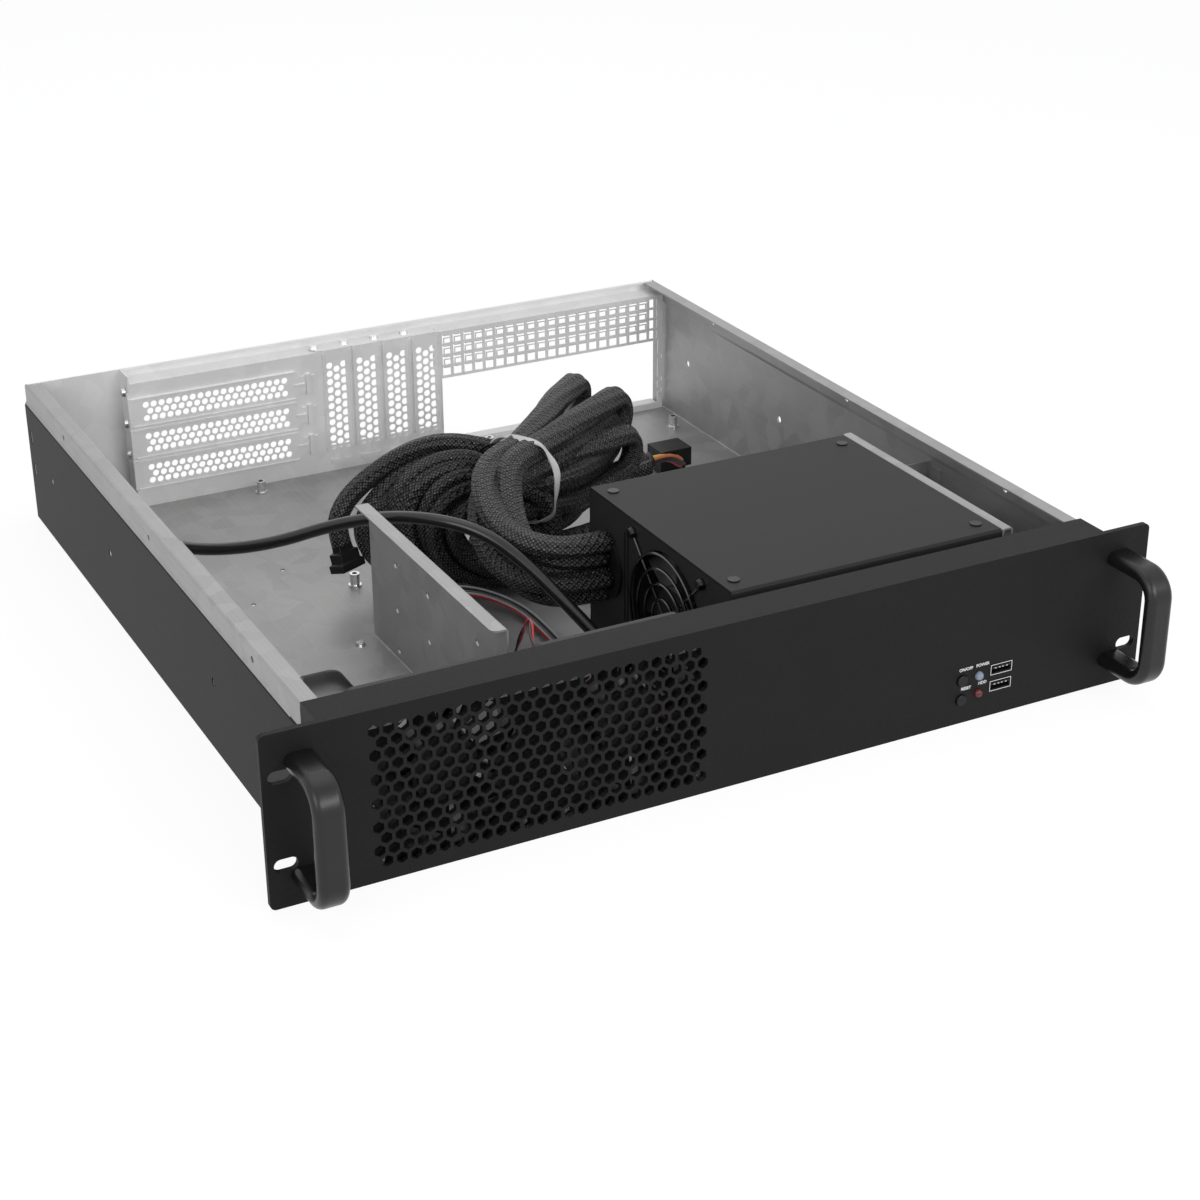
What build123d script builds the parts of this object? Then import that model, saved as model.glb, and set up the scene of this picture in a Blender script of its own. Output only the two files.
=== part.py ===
from build123d import *
import math
import os

os.makedirs("parts", exist_ok=True)

# Rackmount server case, two units high, with its lid off.
# Millimetres: X runs to the right, Y to the rear and Z up from the surface it stands on.

# Rack plate
RACK_W = 482.6
RACK_H = 88.1
PLATE_T = 3.0
PLATE_CORNER = 3.0
SLOT_SPAN_X = 465.1
SLOT_SPAN_Z = 44.45
SLOT_L = 11.5
SLOT_H = 6.6

# Body tub, one folded sheet
BODY_W = 430.0
BODY_D = 480.0
SHEET = 1.0
WALL_H = 87.1
SKIN_H = 74.0
JOGGLE = 1.2
RIM_W = 9.0
BEND_R = 1.2
GAP = 0.3
FRONT_BOX_D = 21.6
SCREW_SPACE = 2.6

# Handles
HANDLE_REACH = 36.5
HANDLE_W = 15.0
HANDLE_T = 8.0
HANDLE_FEET = 58.0
HANDLE_X = 223.0
HANDLE_BEND = 12.0
HANDLE_SCREW_R = 2.0
HANDLE_THREAD = 6.0

# Honeycomb vent
VENT_PITCH = 7.07
VENT_FLATS = 5.3
VENT_COLS = 24
VENT_ROWS = 12
VENT_X = -105.2
VENT_Z = 43.5

# Case fans
FAN_SIZE = 80.0
FAN_DEPTH = 25.0
FAN_BORE = 76.0
FAN_HOLES = 71.5
FAN_FLANGE = 3.6
FAN_X = (-151.0, -57.0)
FAN_Z = 44.0
HUB_R = 17.5
BLADES = 7

# Controls, seen from the front
BUTTON_R = 3.0
BUTTON_X = 129.0
BUTTON_Z = (24.5, 13.5)
BUTTON_TRAVEL = 1.0
LED_R = 2.4
LED_X = 139.5
LED_Z = (24.8, 15.0)
USB_W = 13.2
USB_H = 5.8
USB_D = 14.0
USB_X = 153.0
USB_Z = (26.2, 17.0)
BOARD_T = 1.6

# Rear panel
INSET_D = 16.0
INSET_X = -156.0
LEDGE_Z = 81.5
LIP_TOP = 86.5
HEM = 3.0
IO_X = 50.2
IO_Z = 5.25
IO_W = 158.75
IO_H = 44.45
GRID_PITCH = 7.56
GRID_HOLE = 5.8
GRID_COLS = 21
GRID_ROWS = 4

# Card slots and their covers
CARD_PITCH = 20.32
COVER_W = 18.4
COVER_T = 0.9
COVER_RIB = 0.8
COVER_TAB = 11.4
TONGUE_W = 10.0
TONGUE_L = 9.0
LOW_COVER_L = 79.2
FULL_COVER_L = 120.0
LOW_COVERS = 4
FULL_COVERS = 3
LAST_LOW_X = 39.0
TOP_FULL_Z = 62.8
SLOT_OPEN_W = 13.0

# Drive cage
CAGE_X = -100.8
CAGE_W = 101.6
CAGE_Y = 48.0
CAGE_L = 170.0
CAGE_TOP = 86.0
TRAY_Z = 9.0
CAGE_RIM = 8.0
DRIVE_HOLE_R = 1.9

# Power supply
PSU_X = 11.5
PSU_Y = 31.0
PSU_W = 160.0
PSU_L = 150.0
PSU_H = 86.0
PSU_FAN_Y = 95.0
PSU_EXIT_Y = 161.0
PSU_EXIT_Z = 49.0
PSU_EXIT_R = 16.0
BRACKET_RIM = 6.0

# Mains inlets
INLET_W = 27.5
INLET_H = 20.0
INLET_D = 20.0
INLET_FLANGE = 2.5
REAR_INLET_X = -185.0
REAR_INLET_Z = 20.0
PSU_INLET_Y = 70.0
PSU_INLET_Z = 52.0

# Fixings
SCREW_R = 1.5
SCREW_HEAD_R = 3.1
SCREW_HEAD_H = 1.8
STANDOFF_R = 2.8
STANDOFF_H = 8.0

# Leads, and the solids that stand for the coiled cables
MAINS_R = 3.5
TRUNK_R = 14.0
SLEEVE_R = 5.0
SLEEVE_PITCH = 10.8
PANEL_LEAD_R = 2.5
FAN_LEAD_R = 1.2
DRIVE_LEAD_R = 3.0
HANK_X = 2.0
HANK_Y0 = 256.0
HANK_Y1 = 316.0
HANK_TOP = 85.0
NECK_W = 14.0
TIE_W = 3.0
TIE_T = 1.5

# Places worked out from the sizes above
FRONT_Y = (HANDLE_REACH - BODY_D) / 2
REAR_Y = FRONT_Y + BODY_D
BACK_OF_PLATE = FRONT_Y + PLATE_T
WALL_Y = BACK_OF_PLATE + SCREW_SPACE
INNER_X = BODY_W / 2 - SHEET
STRIP_X = BODY_W / 2 - JOGGLE
INSET_Y = REAR_Y - INSET_D
FAN_Y = WALL_Y + SHEET


def slab(x0, x1, y0, y1, z0, z1, mode=Mode.ADD):
    # A box given by its six faces.
    with Locations(((x0 + x1) / 2, (y0 + y1) / 2, (z0 + z1) / 2)):
        Box(x1 - x0, y1 - y0, z1 - z0, mode=mode)


def facing(x, y, z, z_dir, x_dir):
    # A plane at a point, with its normal and its own x direction.
    return Plane(origin=(x, y, z), x_dir=x_dir, z_dir=z_dir)


def save(part, name):
    part.label = name
    export_step(part, f"parts/{name}.step")
    return part


# Chassis tub: floor, side walls with a joggle and an inward rim, and a folded-up front wall
with BuildPart() as chassis_tub:
    half_w = BODY_W / 2 - SHEET / 2
    strip_w = half_w - JOGGLE
    side = [
        (half_w, SHEET / 2),
        (half_w, SKIN_H),
        (strip_w, SKIN_H + 2 * JOGGLE),
        (strip_w, WALL_H - SHEET / 2),
        (STRIP_X - RIM_W, WALL_H - SHEET / 2),
    ]
    with BuildSketch(Plane.XZ.offset(-REAR_Y)):
        with BuildLine():
            left_side = [(-x, z) for x, z in reversed(side)]
            FilletPolyline(*left_side, *side, radius=BEND_R)
        trace(line_width=SHEET)
    extrude(amount=BODY_D - PLATE_T)
    # The strip above the joggle stops where the front box begins
    front_box_y = FRONT_Y + FRONT_BOX_D
    for sx in (-1, 1):
        x0, x1 = sorted((sx * (STRIP_X - RIM_W - 1), sx * (BODY_W / 2 + 1)))
        slab(x0, x1, BACK_OF_PLATE - 1, front_box_y + GAP, SKIN_H - GAP, WALL_H + 1, Mode.SUBTRACT)
        x0, x1 = sorted((sx * (STRIP_X - RIM_W - 1), sx * (STRIP_X - SHEET)))
        slab(x0, x1, REAR_Y - HEM - SHEET, REAR_Y + 1, WALL_H - 2 * SHEET, WALL_H + 1, Mode.SUBTRACT)
    # Front wall that carries the fans and the controls
    wall_half = STRIP_X - SHEET - GAP
    slab(-wall_half, wall_half, WALL_Y, WALL_Y + SHEET, SHEET / 2, WALL_H - 2 * SHEET)
    wall_plane = facing(0, WALL_Y - 1, 0, (0, 1, 0), (-1, 0, 0))
    with BuildSketch(wall_plane):
        for fan_x in FAN_X:
            with Locations((-fan_x, FAN_Z)):
                Circle(FAN_BORE / 2)
                with GridLocations(FAN_HOLES, FAN_HOLES, 2, 2):
                    Circle(SCREW_R + 0.2)
        with Locations((-(BUTTON_X + USB_X) / 2, (BUTTON_Z[1] + USB_Z[0]) / 2)):
            Rectangle(USB_X - BUTTON_X + USB_W + 10, BUTTON_Z[0] - BUTTON_Z[1] + 16)
    extrude(amount=SHEET + 2, mode=Mode.SUBTRACT)
    # Mounting holes for slide rails and for the lid
    for hole_y in (144, 316, 432):
        with Locations(facing(0, FRONT_Y + hole_y, 42, (1, 0, 0), (0, 1, 0))):
            Cylinder(2.2, BODY_W + 2, mode=Mode.SUBTRACT)
    for hole_y in (84, 240, 398):
        with Locations(facing(0, FRONT_Y + hole_y, 81, (1, 0, 0), (0, 1, 0))):
            Cylinder(1.7, BODY_W + 2, mode=Mode.SUBTRACT)
    for hole_z in (31, 52):
        slab(-BODY_W / 2 - 1, -INNER_X + 1, REAR_Y - 10, REAR_Y - 6, hole_z, hole_z + 8, Mode.SUBTRACT)
    for hole_x, hole_y in ((-110, 336), (-141, 300)):
        with Locations((hole_x, FRONT_Y + hole_y, 0)):
            Cylinder(1.5, 4 * SHEET, mode=Mode.SUBTRACT)
    # Raised bosses under the drive cage
    cage_left = CAGE_X - CAGE_W
    boss_x = (cage_left + 12, CAGE_X - 12)
    boss_y = (FRONT_Y + CAGE_Y + 9, FRONT_Y + CAGE_Y + CAGE_L - 9)
    for bx in boss_x:
        for by in boss_y:
            with Locations((bx, by, (TRAY_Z - SHEET + SHEET / 2) / 2)):
                Cylinder(5.5, TRAY_Z - SHEET - SHEET / 2)
            with Locations((bx, by, TRAY_Z / 2)):
                Cylinder(SCREW_R, TRAY_Z + 4, mode=Mode.SUBTRACT)
save(chassis_tub.part, "chassis_tub")

# Front panel: rack plate, the shallow box behind it, then the vent and the holes for the controls
with BuildPart() as front_panel:
    plate_plane = facing(0, BACK_OF_PLATE, 0, (0, -1, 0), (1, 0, 0))
    with BuildSketch(plate_plane):
        with Locations((0, RACK_H / 2)):
            RectangleRounded(RACK_W, RACK_H, PLATE_CORNER)
    extrude(amount=PLATE_T)
    box_top = WALL_H + SHEET
    slab(-STRIP_X, STRIP_X, BACK_OF_PLATE - SHEET, front_box_y, WALL_H, box_top)
    slab(-STRIP_X, STRIP_X, front_box_y - SHEET, front_box_y, FAN_Z + FAN_SIZE / 2 + GAP, box_top)
    for sx in (-1, 1):
        x0, x1 = sorted((sx * (STRIP_X - SHEET), sx * STRIP_X))
        slab(x0, x1, BACK_OF_PLATE - SHEET, front_box_y, 4 * SHEET, box_top)
    with BuildSketch(plate_plane):
        with Locations((0, RACK_H / 2)):
            with GridLocations(SLOT_SPAN_X, SLOT_SPAN_Z, 2, 2):
                SlotOverall(SLOT_L, SLOT_H)
            with GridLocations(2 * HANDLE_X, HANDLE_FEET, 2, 2):
                Circle(HANDLE_SCREW_R)
        row_pitch = VENT_PITCH * math.sqrt(3) / 2
        for shift, lift in ((-1, 1), (1, -1)):
            with Locations((VENT_X + shift * VENT_PITCH / 4, VENT_Z + lift * row_pitch / 2)):
                with GridLocations(VENT_PITCH, 2 * row_pitch, VENT_COLS, VENT_ROWS // 2):
                    RegularPolygon(VENT_FLATS / 2, 6, major_radius=False, rotation=30)
        with Locations(*[(BUTTON_X, z) for z in BUTTON_Z]):
            Circle(BUTTON_R + GAP)
        with Locations(*[(LED_X, z) for z in LED_Z]):
            Circle(LED_R + 0.1)
        with Locations(*[(USB_X, z) for z in USB_Z]):
            Rectangle(USB_W + 0.4, USB_H + 0.4)
    extrude(amount=PLATE_T, mode=Mode.SUBTRACT)
save(front_panel.part, "front_panel")


# Bar handles, a flattened tube bent round two corners
def bar_handle(x):
    reach = HANDLE_REACH - HANDLE_T / 2
    low = (RACK_H - HANDLE_FEET) / 2
    with BuildPart() as handle:
        with BuildLine() as path:
            FilletPolyline(
                (x, FRONT_Y, low),
                (x, FRONT_Y - reach, low),
                (x, FRONT_Y - reach, low + HANDLE_FEET),
                (x, FRONT_Y, low + HANDLE_FEET),
                radius=HANDLE_BEND,
            )
        with BuildSketch(facing(x, FRONT_Y, low, (0, -1, 0), (1, 0, 0))):
            RectangleRounded(HANDLE_W, HANDLE_T, HANDLE_T / 2 - 0.1)
        sweep(path=path.line)
        for z in (low, low + HANDLE_FEET):
            with Locations(facing(x, FRONT_Y, z, (0, -1, 0), (1, 0, 0))):
                Cylinder(HANDLE_SCREW_R, 2 * HANDLE_THREAD, mode=Mode.SUBTRACT)
    return handle.part


save(bar_handle(-HANDLE_X), "handle_left")
save(bar_handle(HANDLE_X), "handle_right")


# Pan-head screws, each with its head on the side its plane faces
def screws(name, planes, length, head_r=SCREW_HEAD_R, shank_r=SCREW_R):
    with BuildPart() as group:
        for plane in planes:
            with Locations(plane):
                Cone(head_r, head_r * 0.72, SCREW_HEAD_H, align=(Align.CENTER, Align.CENTER, Align.MIN))
                Cylinder(shank_r, length, align=(Align.CENTER, Align.CENTER, Align.MAX))
    return save(group.part, name)


handle_low = (RACK_H - HANDLE_FEET) / 2
screws(
    "handle_screws",
    [
        facing(sx * HANDLE_X, BACK_OF_PLATE, z, (0, 1, 0), (1, 0, 0))
        for sx in (-1, 1)
        for z in (handle_low, handle_low + HANDLE_FEET)
    ],
    PLATE_T + HANDLE_THREAD - GAP,
    head_r=HANDLE_SCREW_R + 1.4,
    shank_r=HANDLE_SCREW_R,
)

# Places of the card slots
row_z = [TOP_FULL_Z - i * CARD_PITCH for i in range(FULL_COVERS)]
column_x = [LAST_LOW_X - i * CARD_PITCH for i in reversed(range(LOW_COVERS))]
low_foot = LEDGE_Z + COVER_T - LOW_COVER_L
full_foot = INSET_X - COVER_T + FULL_COVER_L
low_planes = [facing(x, INSET_Y, low_foot, (0, -1, 0), (1, 0, 0)) for x in column_x]
full_planes = [facing(full_foot, INSET_Y, z, (0, -1, 0), (0, 0, 1)) for z in row_z]
screw_shift = CARD_PITCH / 2 + 2.0
tab_mid = COVER_TAB / 2


def tongue_strap(plane):
    # A bridge pressed out of the panel, which holds the tongue of a slot cover
    lift = COVER_T + GAP + SHEET
    with BuildPart(plane) as strap:
        with Locations((0, TONGUE_L / 2, lift / 2)):
            Box(TONGUE_W + 2 * GAP + 2 * SHEET, 3, lift)
        with Locations((0, TONGUE_L / 2, (COVER_T + GAP) / 2)):
            Box(TONGUE_W + 2 * GAP, 3, COVER_T + GAP, mode=Mode.SUBTRACT)
    return strap.part


# Rear panel: a flat part at the left, and a part set forward for the cards and the board's sockets
with BuildPart() as rear_panel:
    right_x = INNER_X - GAP
    strip_right_x = STRIP_X - SHEET - GAP
    left_x = -strip_right_x
    # Section through the inset part, from its foot on the floor to the hemmed lip
    with BuildSketch(facing(INSET_X, 0, 0, (1, 0, 0), (0, 1, 0))):
        with BuildLine():
            Polyline(
                (REAR_Y, 1.5 * SHEET),
                (INSET_Y + SHEET / 2, 1.5 * SHEET),
                (INSET_Y + SHEET / 2, LEDGE_Z - SHEET / 2),
                (REAR_Y - SHEET / 2, LEDGE_Z - SHEET / 2),
                (REAR_Y - SHEET / 2, LIP_TOP - SHEET / 2),
                (REAR_Y - HEM, LIP_TOP - SHEET / 2),
            )
        trace(line_width=SHEET)
    extrude(amount=strip_right_x - INSET_X)
    slab(INSET_X, INSET_X + SHEET, INSET_Y, REAR_Y, SHEET, LIP_TOP)
    slab(left_x, INSET_X + SHEET, REAR_Y - SHEET, REAR_Y, SHEET, LIP_TOP)
    slab(left_x, left_x + SHEET, REAR_Y - 10, REAR_Y, SHEET + GAP, LIP_TOP - 12)
    for plane in low_planes + full_planes:
        add(tongue_strap(plane))
    panel_plane = facing(0, INSET_Y, 0, (0, 1, 0), (-1, 0, 0))
    with BuildSketch(panel_plane):
        with Locations((-(IO_X + IO_W / 2), IO_Z + IO_H / 2)):
            Rectangle(IO_W, IO_H)
        with Locations((-(IO_X + IO_W / 2), IO_Z + IO_H + GRID_PITCH * GRID_ROWS / 2 + 0.3)):
            with GridLocations(GRID_PITCH, GRID_PITCH * 0.96, GRID_COLS, GRID_ROWS):
                Rectangle(GRID_HOLE, GRID_HOLE)
        for notch_z in (14, 22, 38):
            with Locations((-(IO_X + IO_W + 1), notch_z)):
                Rectangle(4, 3)
        with Locations((-(IO_X + 11), IO_Z)):
            Circle(1.6)
        low_open = LOW_COVER_L - TONGUE_L - 11
        for x in column_x:
            with Locations((-x, low_foot + TONGUE_L + 6 + low_open / 2)):
                Rectangle(SLOT_OPEN_W, low_open)
        full_open = FULL_COVER_L - TONGUE_L - 13
        for z in row_z:
            with Locations((-(full_foot - TONGUE_L - 6 - full_open / 2), z)):
                Rectangle(full_open, SLOT_OPEN_W)
    extrude(amount=SHEET, mode=Mode.SUBTRACT)
    # Screw holes for the covers, with one spare at the right end of the ledge
    for x in column_x + [LAST_LOW_X + CARD_PITCH]:
        with Locations((x - screw_shift, INSET_Y + tab_mid, LEDGE_Z)):
            Cylinder(SCREW_R, 4 * SHEET, mode=Mode.SUBTRACT)
    for z in row_z:
        with Locations(facing(INSET_X, INSET_Y + tab_mid, z + screw_shift, (1, 0, 0), (0, 1, 0))):
            Cylinder(SCREW_R, 4 * SHEET, mode=Mode.SUBTRACT)
    # Cut-out and screw holes for the mains inlet
    inlet_screw = INLET_W / 2 + 6
    with Locations((REAR_INLET_X, REAR_Y, REAR_INLET_Z)):
        Box(INLET_W + GAP, 4 * SHEET, INLET_H + GAP, mode=Mode.SUBTRACT)
    for sx in (-1, 1):
        with Locations(facing(REAR_INLET_X + sx * inlet_screw, REAR_Y, REAR_INLET_Z, (0, 1, 0), (1, 0, 0))):
            Cylinder(SCREW_R, 4 * SHEET, mode=Mode.SUBTRACT)
save(rear_panel.part, "rear_panel")


# Slot cover: tongue, shoulders, a plate with raised edges, and a tab folded back under its screw.
# Its hand is the side that the tab leans to.
def slot_cover(plane, length, hand, name):
    body_start = TONGUE_L + 4
    with BuildPart() as cover:
        with BuildSketch(plane):
            with BuildLine():
                half_t, half_c = TONGUE_W / 2, COVER_W / 2
                right = [(half_t, 0), (half_t, TONGUE_L), (half_c, body_start), (half_c, length)]
                left = [(-x, y) for x, y in reversed(right)]
                Polyline(*right, *left, close=True)
            make_face()
        extrude(amount=COVER_T)
        with BuildSketch(plane.offset(COVER_T)):
            for sx in (-1, 1):
                with Locations((sx * (half_c - COVER_RIB / 2), (body_start + length - 2) / 2)):
                    Rectangle(COVER_RIB, length - 2 - body_start)
            with Locations((0, TONGUE_L + 1)):
                Rectangle(1.2, 7)
        extrude(amount=COVER_RIB)
        tab_w = CARD_PITCH - GAP
        with BuildSketch(plane):
            with Locations((hand * (screw_shift + 0.4 - tab_w / 2), length - COVER_T / 2)):
                Rectangle(tab_w, COVER_T)
        extrude(amount=-COVER_TAB)
        # One notch for its own screw, and one that clears the next cover's
        for across in (hand * screw_shift, hand * (screw_shift - CARD_PITCH)):
            notch = plane.from_local_coords(Vector(across, length, -tab_mid))
            with Locations(facing(*notch, plane.y_dir, plane.x_dir)):
                Cylinder(SCREW_R + GAP, 4 * COVER_T, mode=Mode.SUBTRACT)
    return save(cover.part, name)


for i, plane in enumerate(full_planes, start=1):
    slot_cover(plane, FULL_COVER_L, 1, f"full_height_cover_{i}")
for i, plane in enumerate(low_planes, start=1):
    slot_cover(plane, LOW_COVER_L, -1, f"low_profile_cover_{i}")

cover_screw_planes = [
    facing(x - screw_shift, INSET_Y + tab_mid, LEDGE_Z + COVER_T, (0, 0, 1), (1, 0, 0)) for x in column_x
] + [
    facing(INSET_X - COVER_T, INSET_Y + tab_mid, z + screw_shift, (-1, 0, 0), (0, 1, 0)) for z in row_z
]
screws("cover_screws", cover_screw_planes, 5)

# Drive cage: a folded tray with two sides, rims along their tops and a window in its floor
with BuildPart() as drive_cage:
    cage_y0 = FRONT_Y + CAGE_Y
    cage_y1 = cage_y0 + CAGE_L
    half = SHEET / 2
    with BuildSketch(Plane.XZ.offset(-cage_y1)):
        with BuildLine():
            FilletPolyline(
                (cage_left - half - CAGE_RIM, CAGE_TOP - half),
                (cage_left - half, CAGE_TOP - half),
                (cage_left - half, TRAY_Z - half),
                (CAGE_X + half, TRAY_Z - half),
                (CAGE_X + half, CAGE_TOP - half),
                (CAGE_X + half - CAGE_RIM, CAGE_TOP - half),
                radius=BEND_R,
            )
        trace(line_width=SHEET)
    extrude(amount=CAGE_L)
    window_w = CAGE_W - 46
    window_l = CAGE_L - 56
    with BuildSketch(Plane.XY.offset(TRAY_Z - 3 * SHEET)):
        with Locations((cage_left + 13 + window_w / 2, cage_y0 + CAGE_L / 2)):
            RectangleRounded(window_w, window_l, 6)
    extrude(amount=6 * SHEET, mode=Mode.SUBTRACT)
    for bx in boss_x:
        for by in boss_y:
            with Locations((bx, by, TRAY_Z)):
                Cylinder(SCREW_R + 0.1, 4 * SHEET, mode=Mode.SUBTRACT)
    # Side holes for three drives, one above the other
    for hole_z in (64, 38, 14):
        for hole_y in (82, 142, 183.6):
            with Locations(facing(cage_left + CAGE_W / 2, FRONT_Y + hole_y, hole_z, (1, 0, 0), (0, 1, 0))):
                Cylinder(DRIVE_HOLE_R, CAGE_W + 4 * SHEET, mode=Mode.SUBTRACT)
    # The rims' front corners are rounded
    rim_corners = drive_cage.edges().filter_by(Axis.Z).group_by(Axis.Y)[0].sort_by(Axis.Z)[-2:]
    fillet(rim_corners, radius=CAGE_RIM / 2)
save(drive_cage.part, "drive_cage")
cage_screw_planes = [facing(bx, by, TRAY_Z, (0, 0, 1), (1, 0, 0)) for bx in boss_x for by in boss_y]
screws("cage_screws", cage_screw_planes, 6)


# Axial fan, drawn with its axis along Z and its outlet side up
def fan_frame(size, depth, bore, holes, flange):
    with BuildPart() as frame:
        for z in (0, depth - flange):
            with BuildSketch(Plane.XY.offset(z)):
                RectangleRounded(size, size, 5)
                Circle(bore / 2, mode=Mode.SUBTRACT)
                with GridLocations(holes, holes, 2, 2):
                    Circle(2.2, mode=Mode.SUBTRACT)
            extrude(amount=flange)
        with BuildSketch():
            Circle(bore / 2 + 1.6)
            Circle(bore / 2, mode=Mode.SUBTRACT)
        extrude(amount=depth)
        # Motor cup on four struts
        with BuildSketch(Plane.XY.offset(depth - 3)):
            Circle(HUB_R)
            with PolarLocations((bore / 2 + HUB_R) / 2, 4, start_angle=30):
                Rectangle(bore / 2 - HUB_R + 1, 3.2)
        extrude(amount=3)
    return frame.part


def fan_rotor(depth, bore):
    top = depth - 3 - GAP
    base = 2.5
    mid = (top + base) / 2
    with BuildPart() as rotor:
        with Locations((0, 0, base)):
            Cylinder(HUB_R, top - base, align=(Align.CENTER, Align.CENTER, Align.MIN))
        hub_edge = rotor.edges().filter_by(GeomType.CIRCLE).sort_by(Axis.Z)[0]
        chamfer(hub_edge, 1.2)
        # A twisted blade, steep at the hub and flatter at its tip
        with BuildPart(mode=Mode.PRIVATE) as blade:
            for r, chord, pitch in ((HUB_R - 1, 17, 48), (bore / 2 - 2.4, 26, 34)):
                with BuildSketch(facing(r, 0, mid, (1, 0, 0), (0, 1, 0))):
                    Rectangle(chord, 1.5, rotation=pitch)
            loft()
        with PolarLocations(0, BLADES):
            add(blade.part)
    return rotor.part


def place(part, plane):
    return part.moved(plane.location)


fan_planes = [facing(x, FAN_Y, FAN_Z, (0, 1, 0), (1, 0, 0)) for x in FAN_X]
for i, plane in enumerate(fan_planes, start=1):
    frame = fan_frame(FAN_SIZE, FAN_DEPTH, FAN_BORE, FAN_HOLES, FAN_FLANGE)
    save(place(frame, plane), f"fan_{i}_frame")
    save(place(fan_rotor(FAN_DEPTH, FAN_BORE), plane), f"fan_{i}_rotor")
fan_screw_planes = [
    facing(x + sx * FAN_HOLES / 2, WALL_Y, FAN_Z + sz * FAN_HOLES / 2, (0, -1, 0), (1, 0, 0))
    for x in FAN_X
    for sx in (-1, 1)
    for sz in (-1, 1)
]
screws("fan_screws", fan_screw_planes, SHEET + FAN_FLANGE)

# Controls: two sprung buttons, two lamps and two sockets on one small board
board_y = WALL_Y + 2 * SHEET
button_head = 1.2
for name, z in zip(("power_button", "reset_button"), BUTTON_Z):
    with BuildPart() as button:
        front_face = FRONT_Y - button_head
        with Locations(facing(BUTTON_X, front_face, z, (0, 1, 0), (1, 0, 0))):
            Cylinder(BUTTON_R, button_head + PLATE_T, align=(Align.CENTER, Align.CENTER, Align.MIN))
            stem = board_y - BUTTON_TRAVEL - GAP - front_face
            Cylinder(BUTTON_R / 2, stem, align=(Align.CENTER, Align.CENTER, Align.MIN))
        rim = button.edges().filter_by(GeomType.CIRCLE).sort_by(Axis.Y)[0]
        fillet(rim, 0.5)
    save(button.part, name)
with BuildPart() as panel_leds:
    for z in LED_Z:
        with Locations(facing(LED_X, FRONT_Y, z, (0, 1, 0), (1, 0, 0))):
            Cylinder(LED_R, board_y - FRONT_Y, align=(Align.CENTER, Align.CENTER, Align.MIN))
    with Locations(*[(LED_X, FRONT_Y, z) for z in LED_Z]):
        Sphere(LED_R)
save(panel_leds.part, "panel_leds")
with BuildPart() as usb_ports:
    usb_y = FRONT_Y + 0.5
    lip = 0.4
    for z in USB_Z:
        slab(USB_X - USB_W / 2, USB_X + USB_W / 2, usb_y, usb_y + USB_D, z - USB_H / 2, z + USB_H / 2)
        slab(USB_X - USB_W / 2 + lip, USB_X + USB_W / 2 - lip, usb_y, usb_y + USB_D - 2,
             z - USB_H / 2 + lip, z + USB_H / 2 - lip, Mode.SUBTRACT)
        slab(USB_X - USB_W / 2 + 1, USB_X + USB_W / 2 - 1, usb_y + 0.6, usb_y + USB_D, z, z + 1.7)
save(usb_ports.part, "usb_ports")
with BuildPart() as control_board:
    board_x0 = BUTTON_X - BUTTON_R - 5
    board_x1 = USB_X + USB_W / 2 + 5
    board_z0 = BUTTON_Z[1] - 7
    board_z1 = USB_Z[0] + 7
    slab(board_x0, board_x1, board_y, board_y + BOARD_T, board_z0, board_z1)
    for z in USB_Z:
        slab(USB_X - USB_W / 2 - 0.1, USB_X + USB_W / 2 + 0.1, board_y - 1, board_y + BOARD_T + 1,
             z - USB_H / 2 - 0.1, z + USB_H / 2 + 0.1, Mode.SUBTRACT)
    header_x = board_x0 + 6
    slab(header_x - 4, header_x + 4, board_y + BOARD_T, board_y + BOARD_T + 6, BUTTON_Z[1], BUTTON_Z[1] + 5)
    # Feet that stand on the front wall beside its cut-out
    for foot_x in (board_x0 + 1.5, board_x1 - 1.5):
        for foot_z in (board_z0 + 1.5, board_z1 - 1.5):
            slab(foot_x - 1.5, foot_x + 1.5, WALL_Y + SHEET, board_y, foot_z - 1.5, foot_z + 1.5)
save(control_board.part, "control_board")

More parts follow.
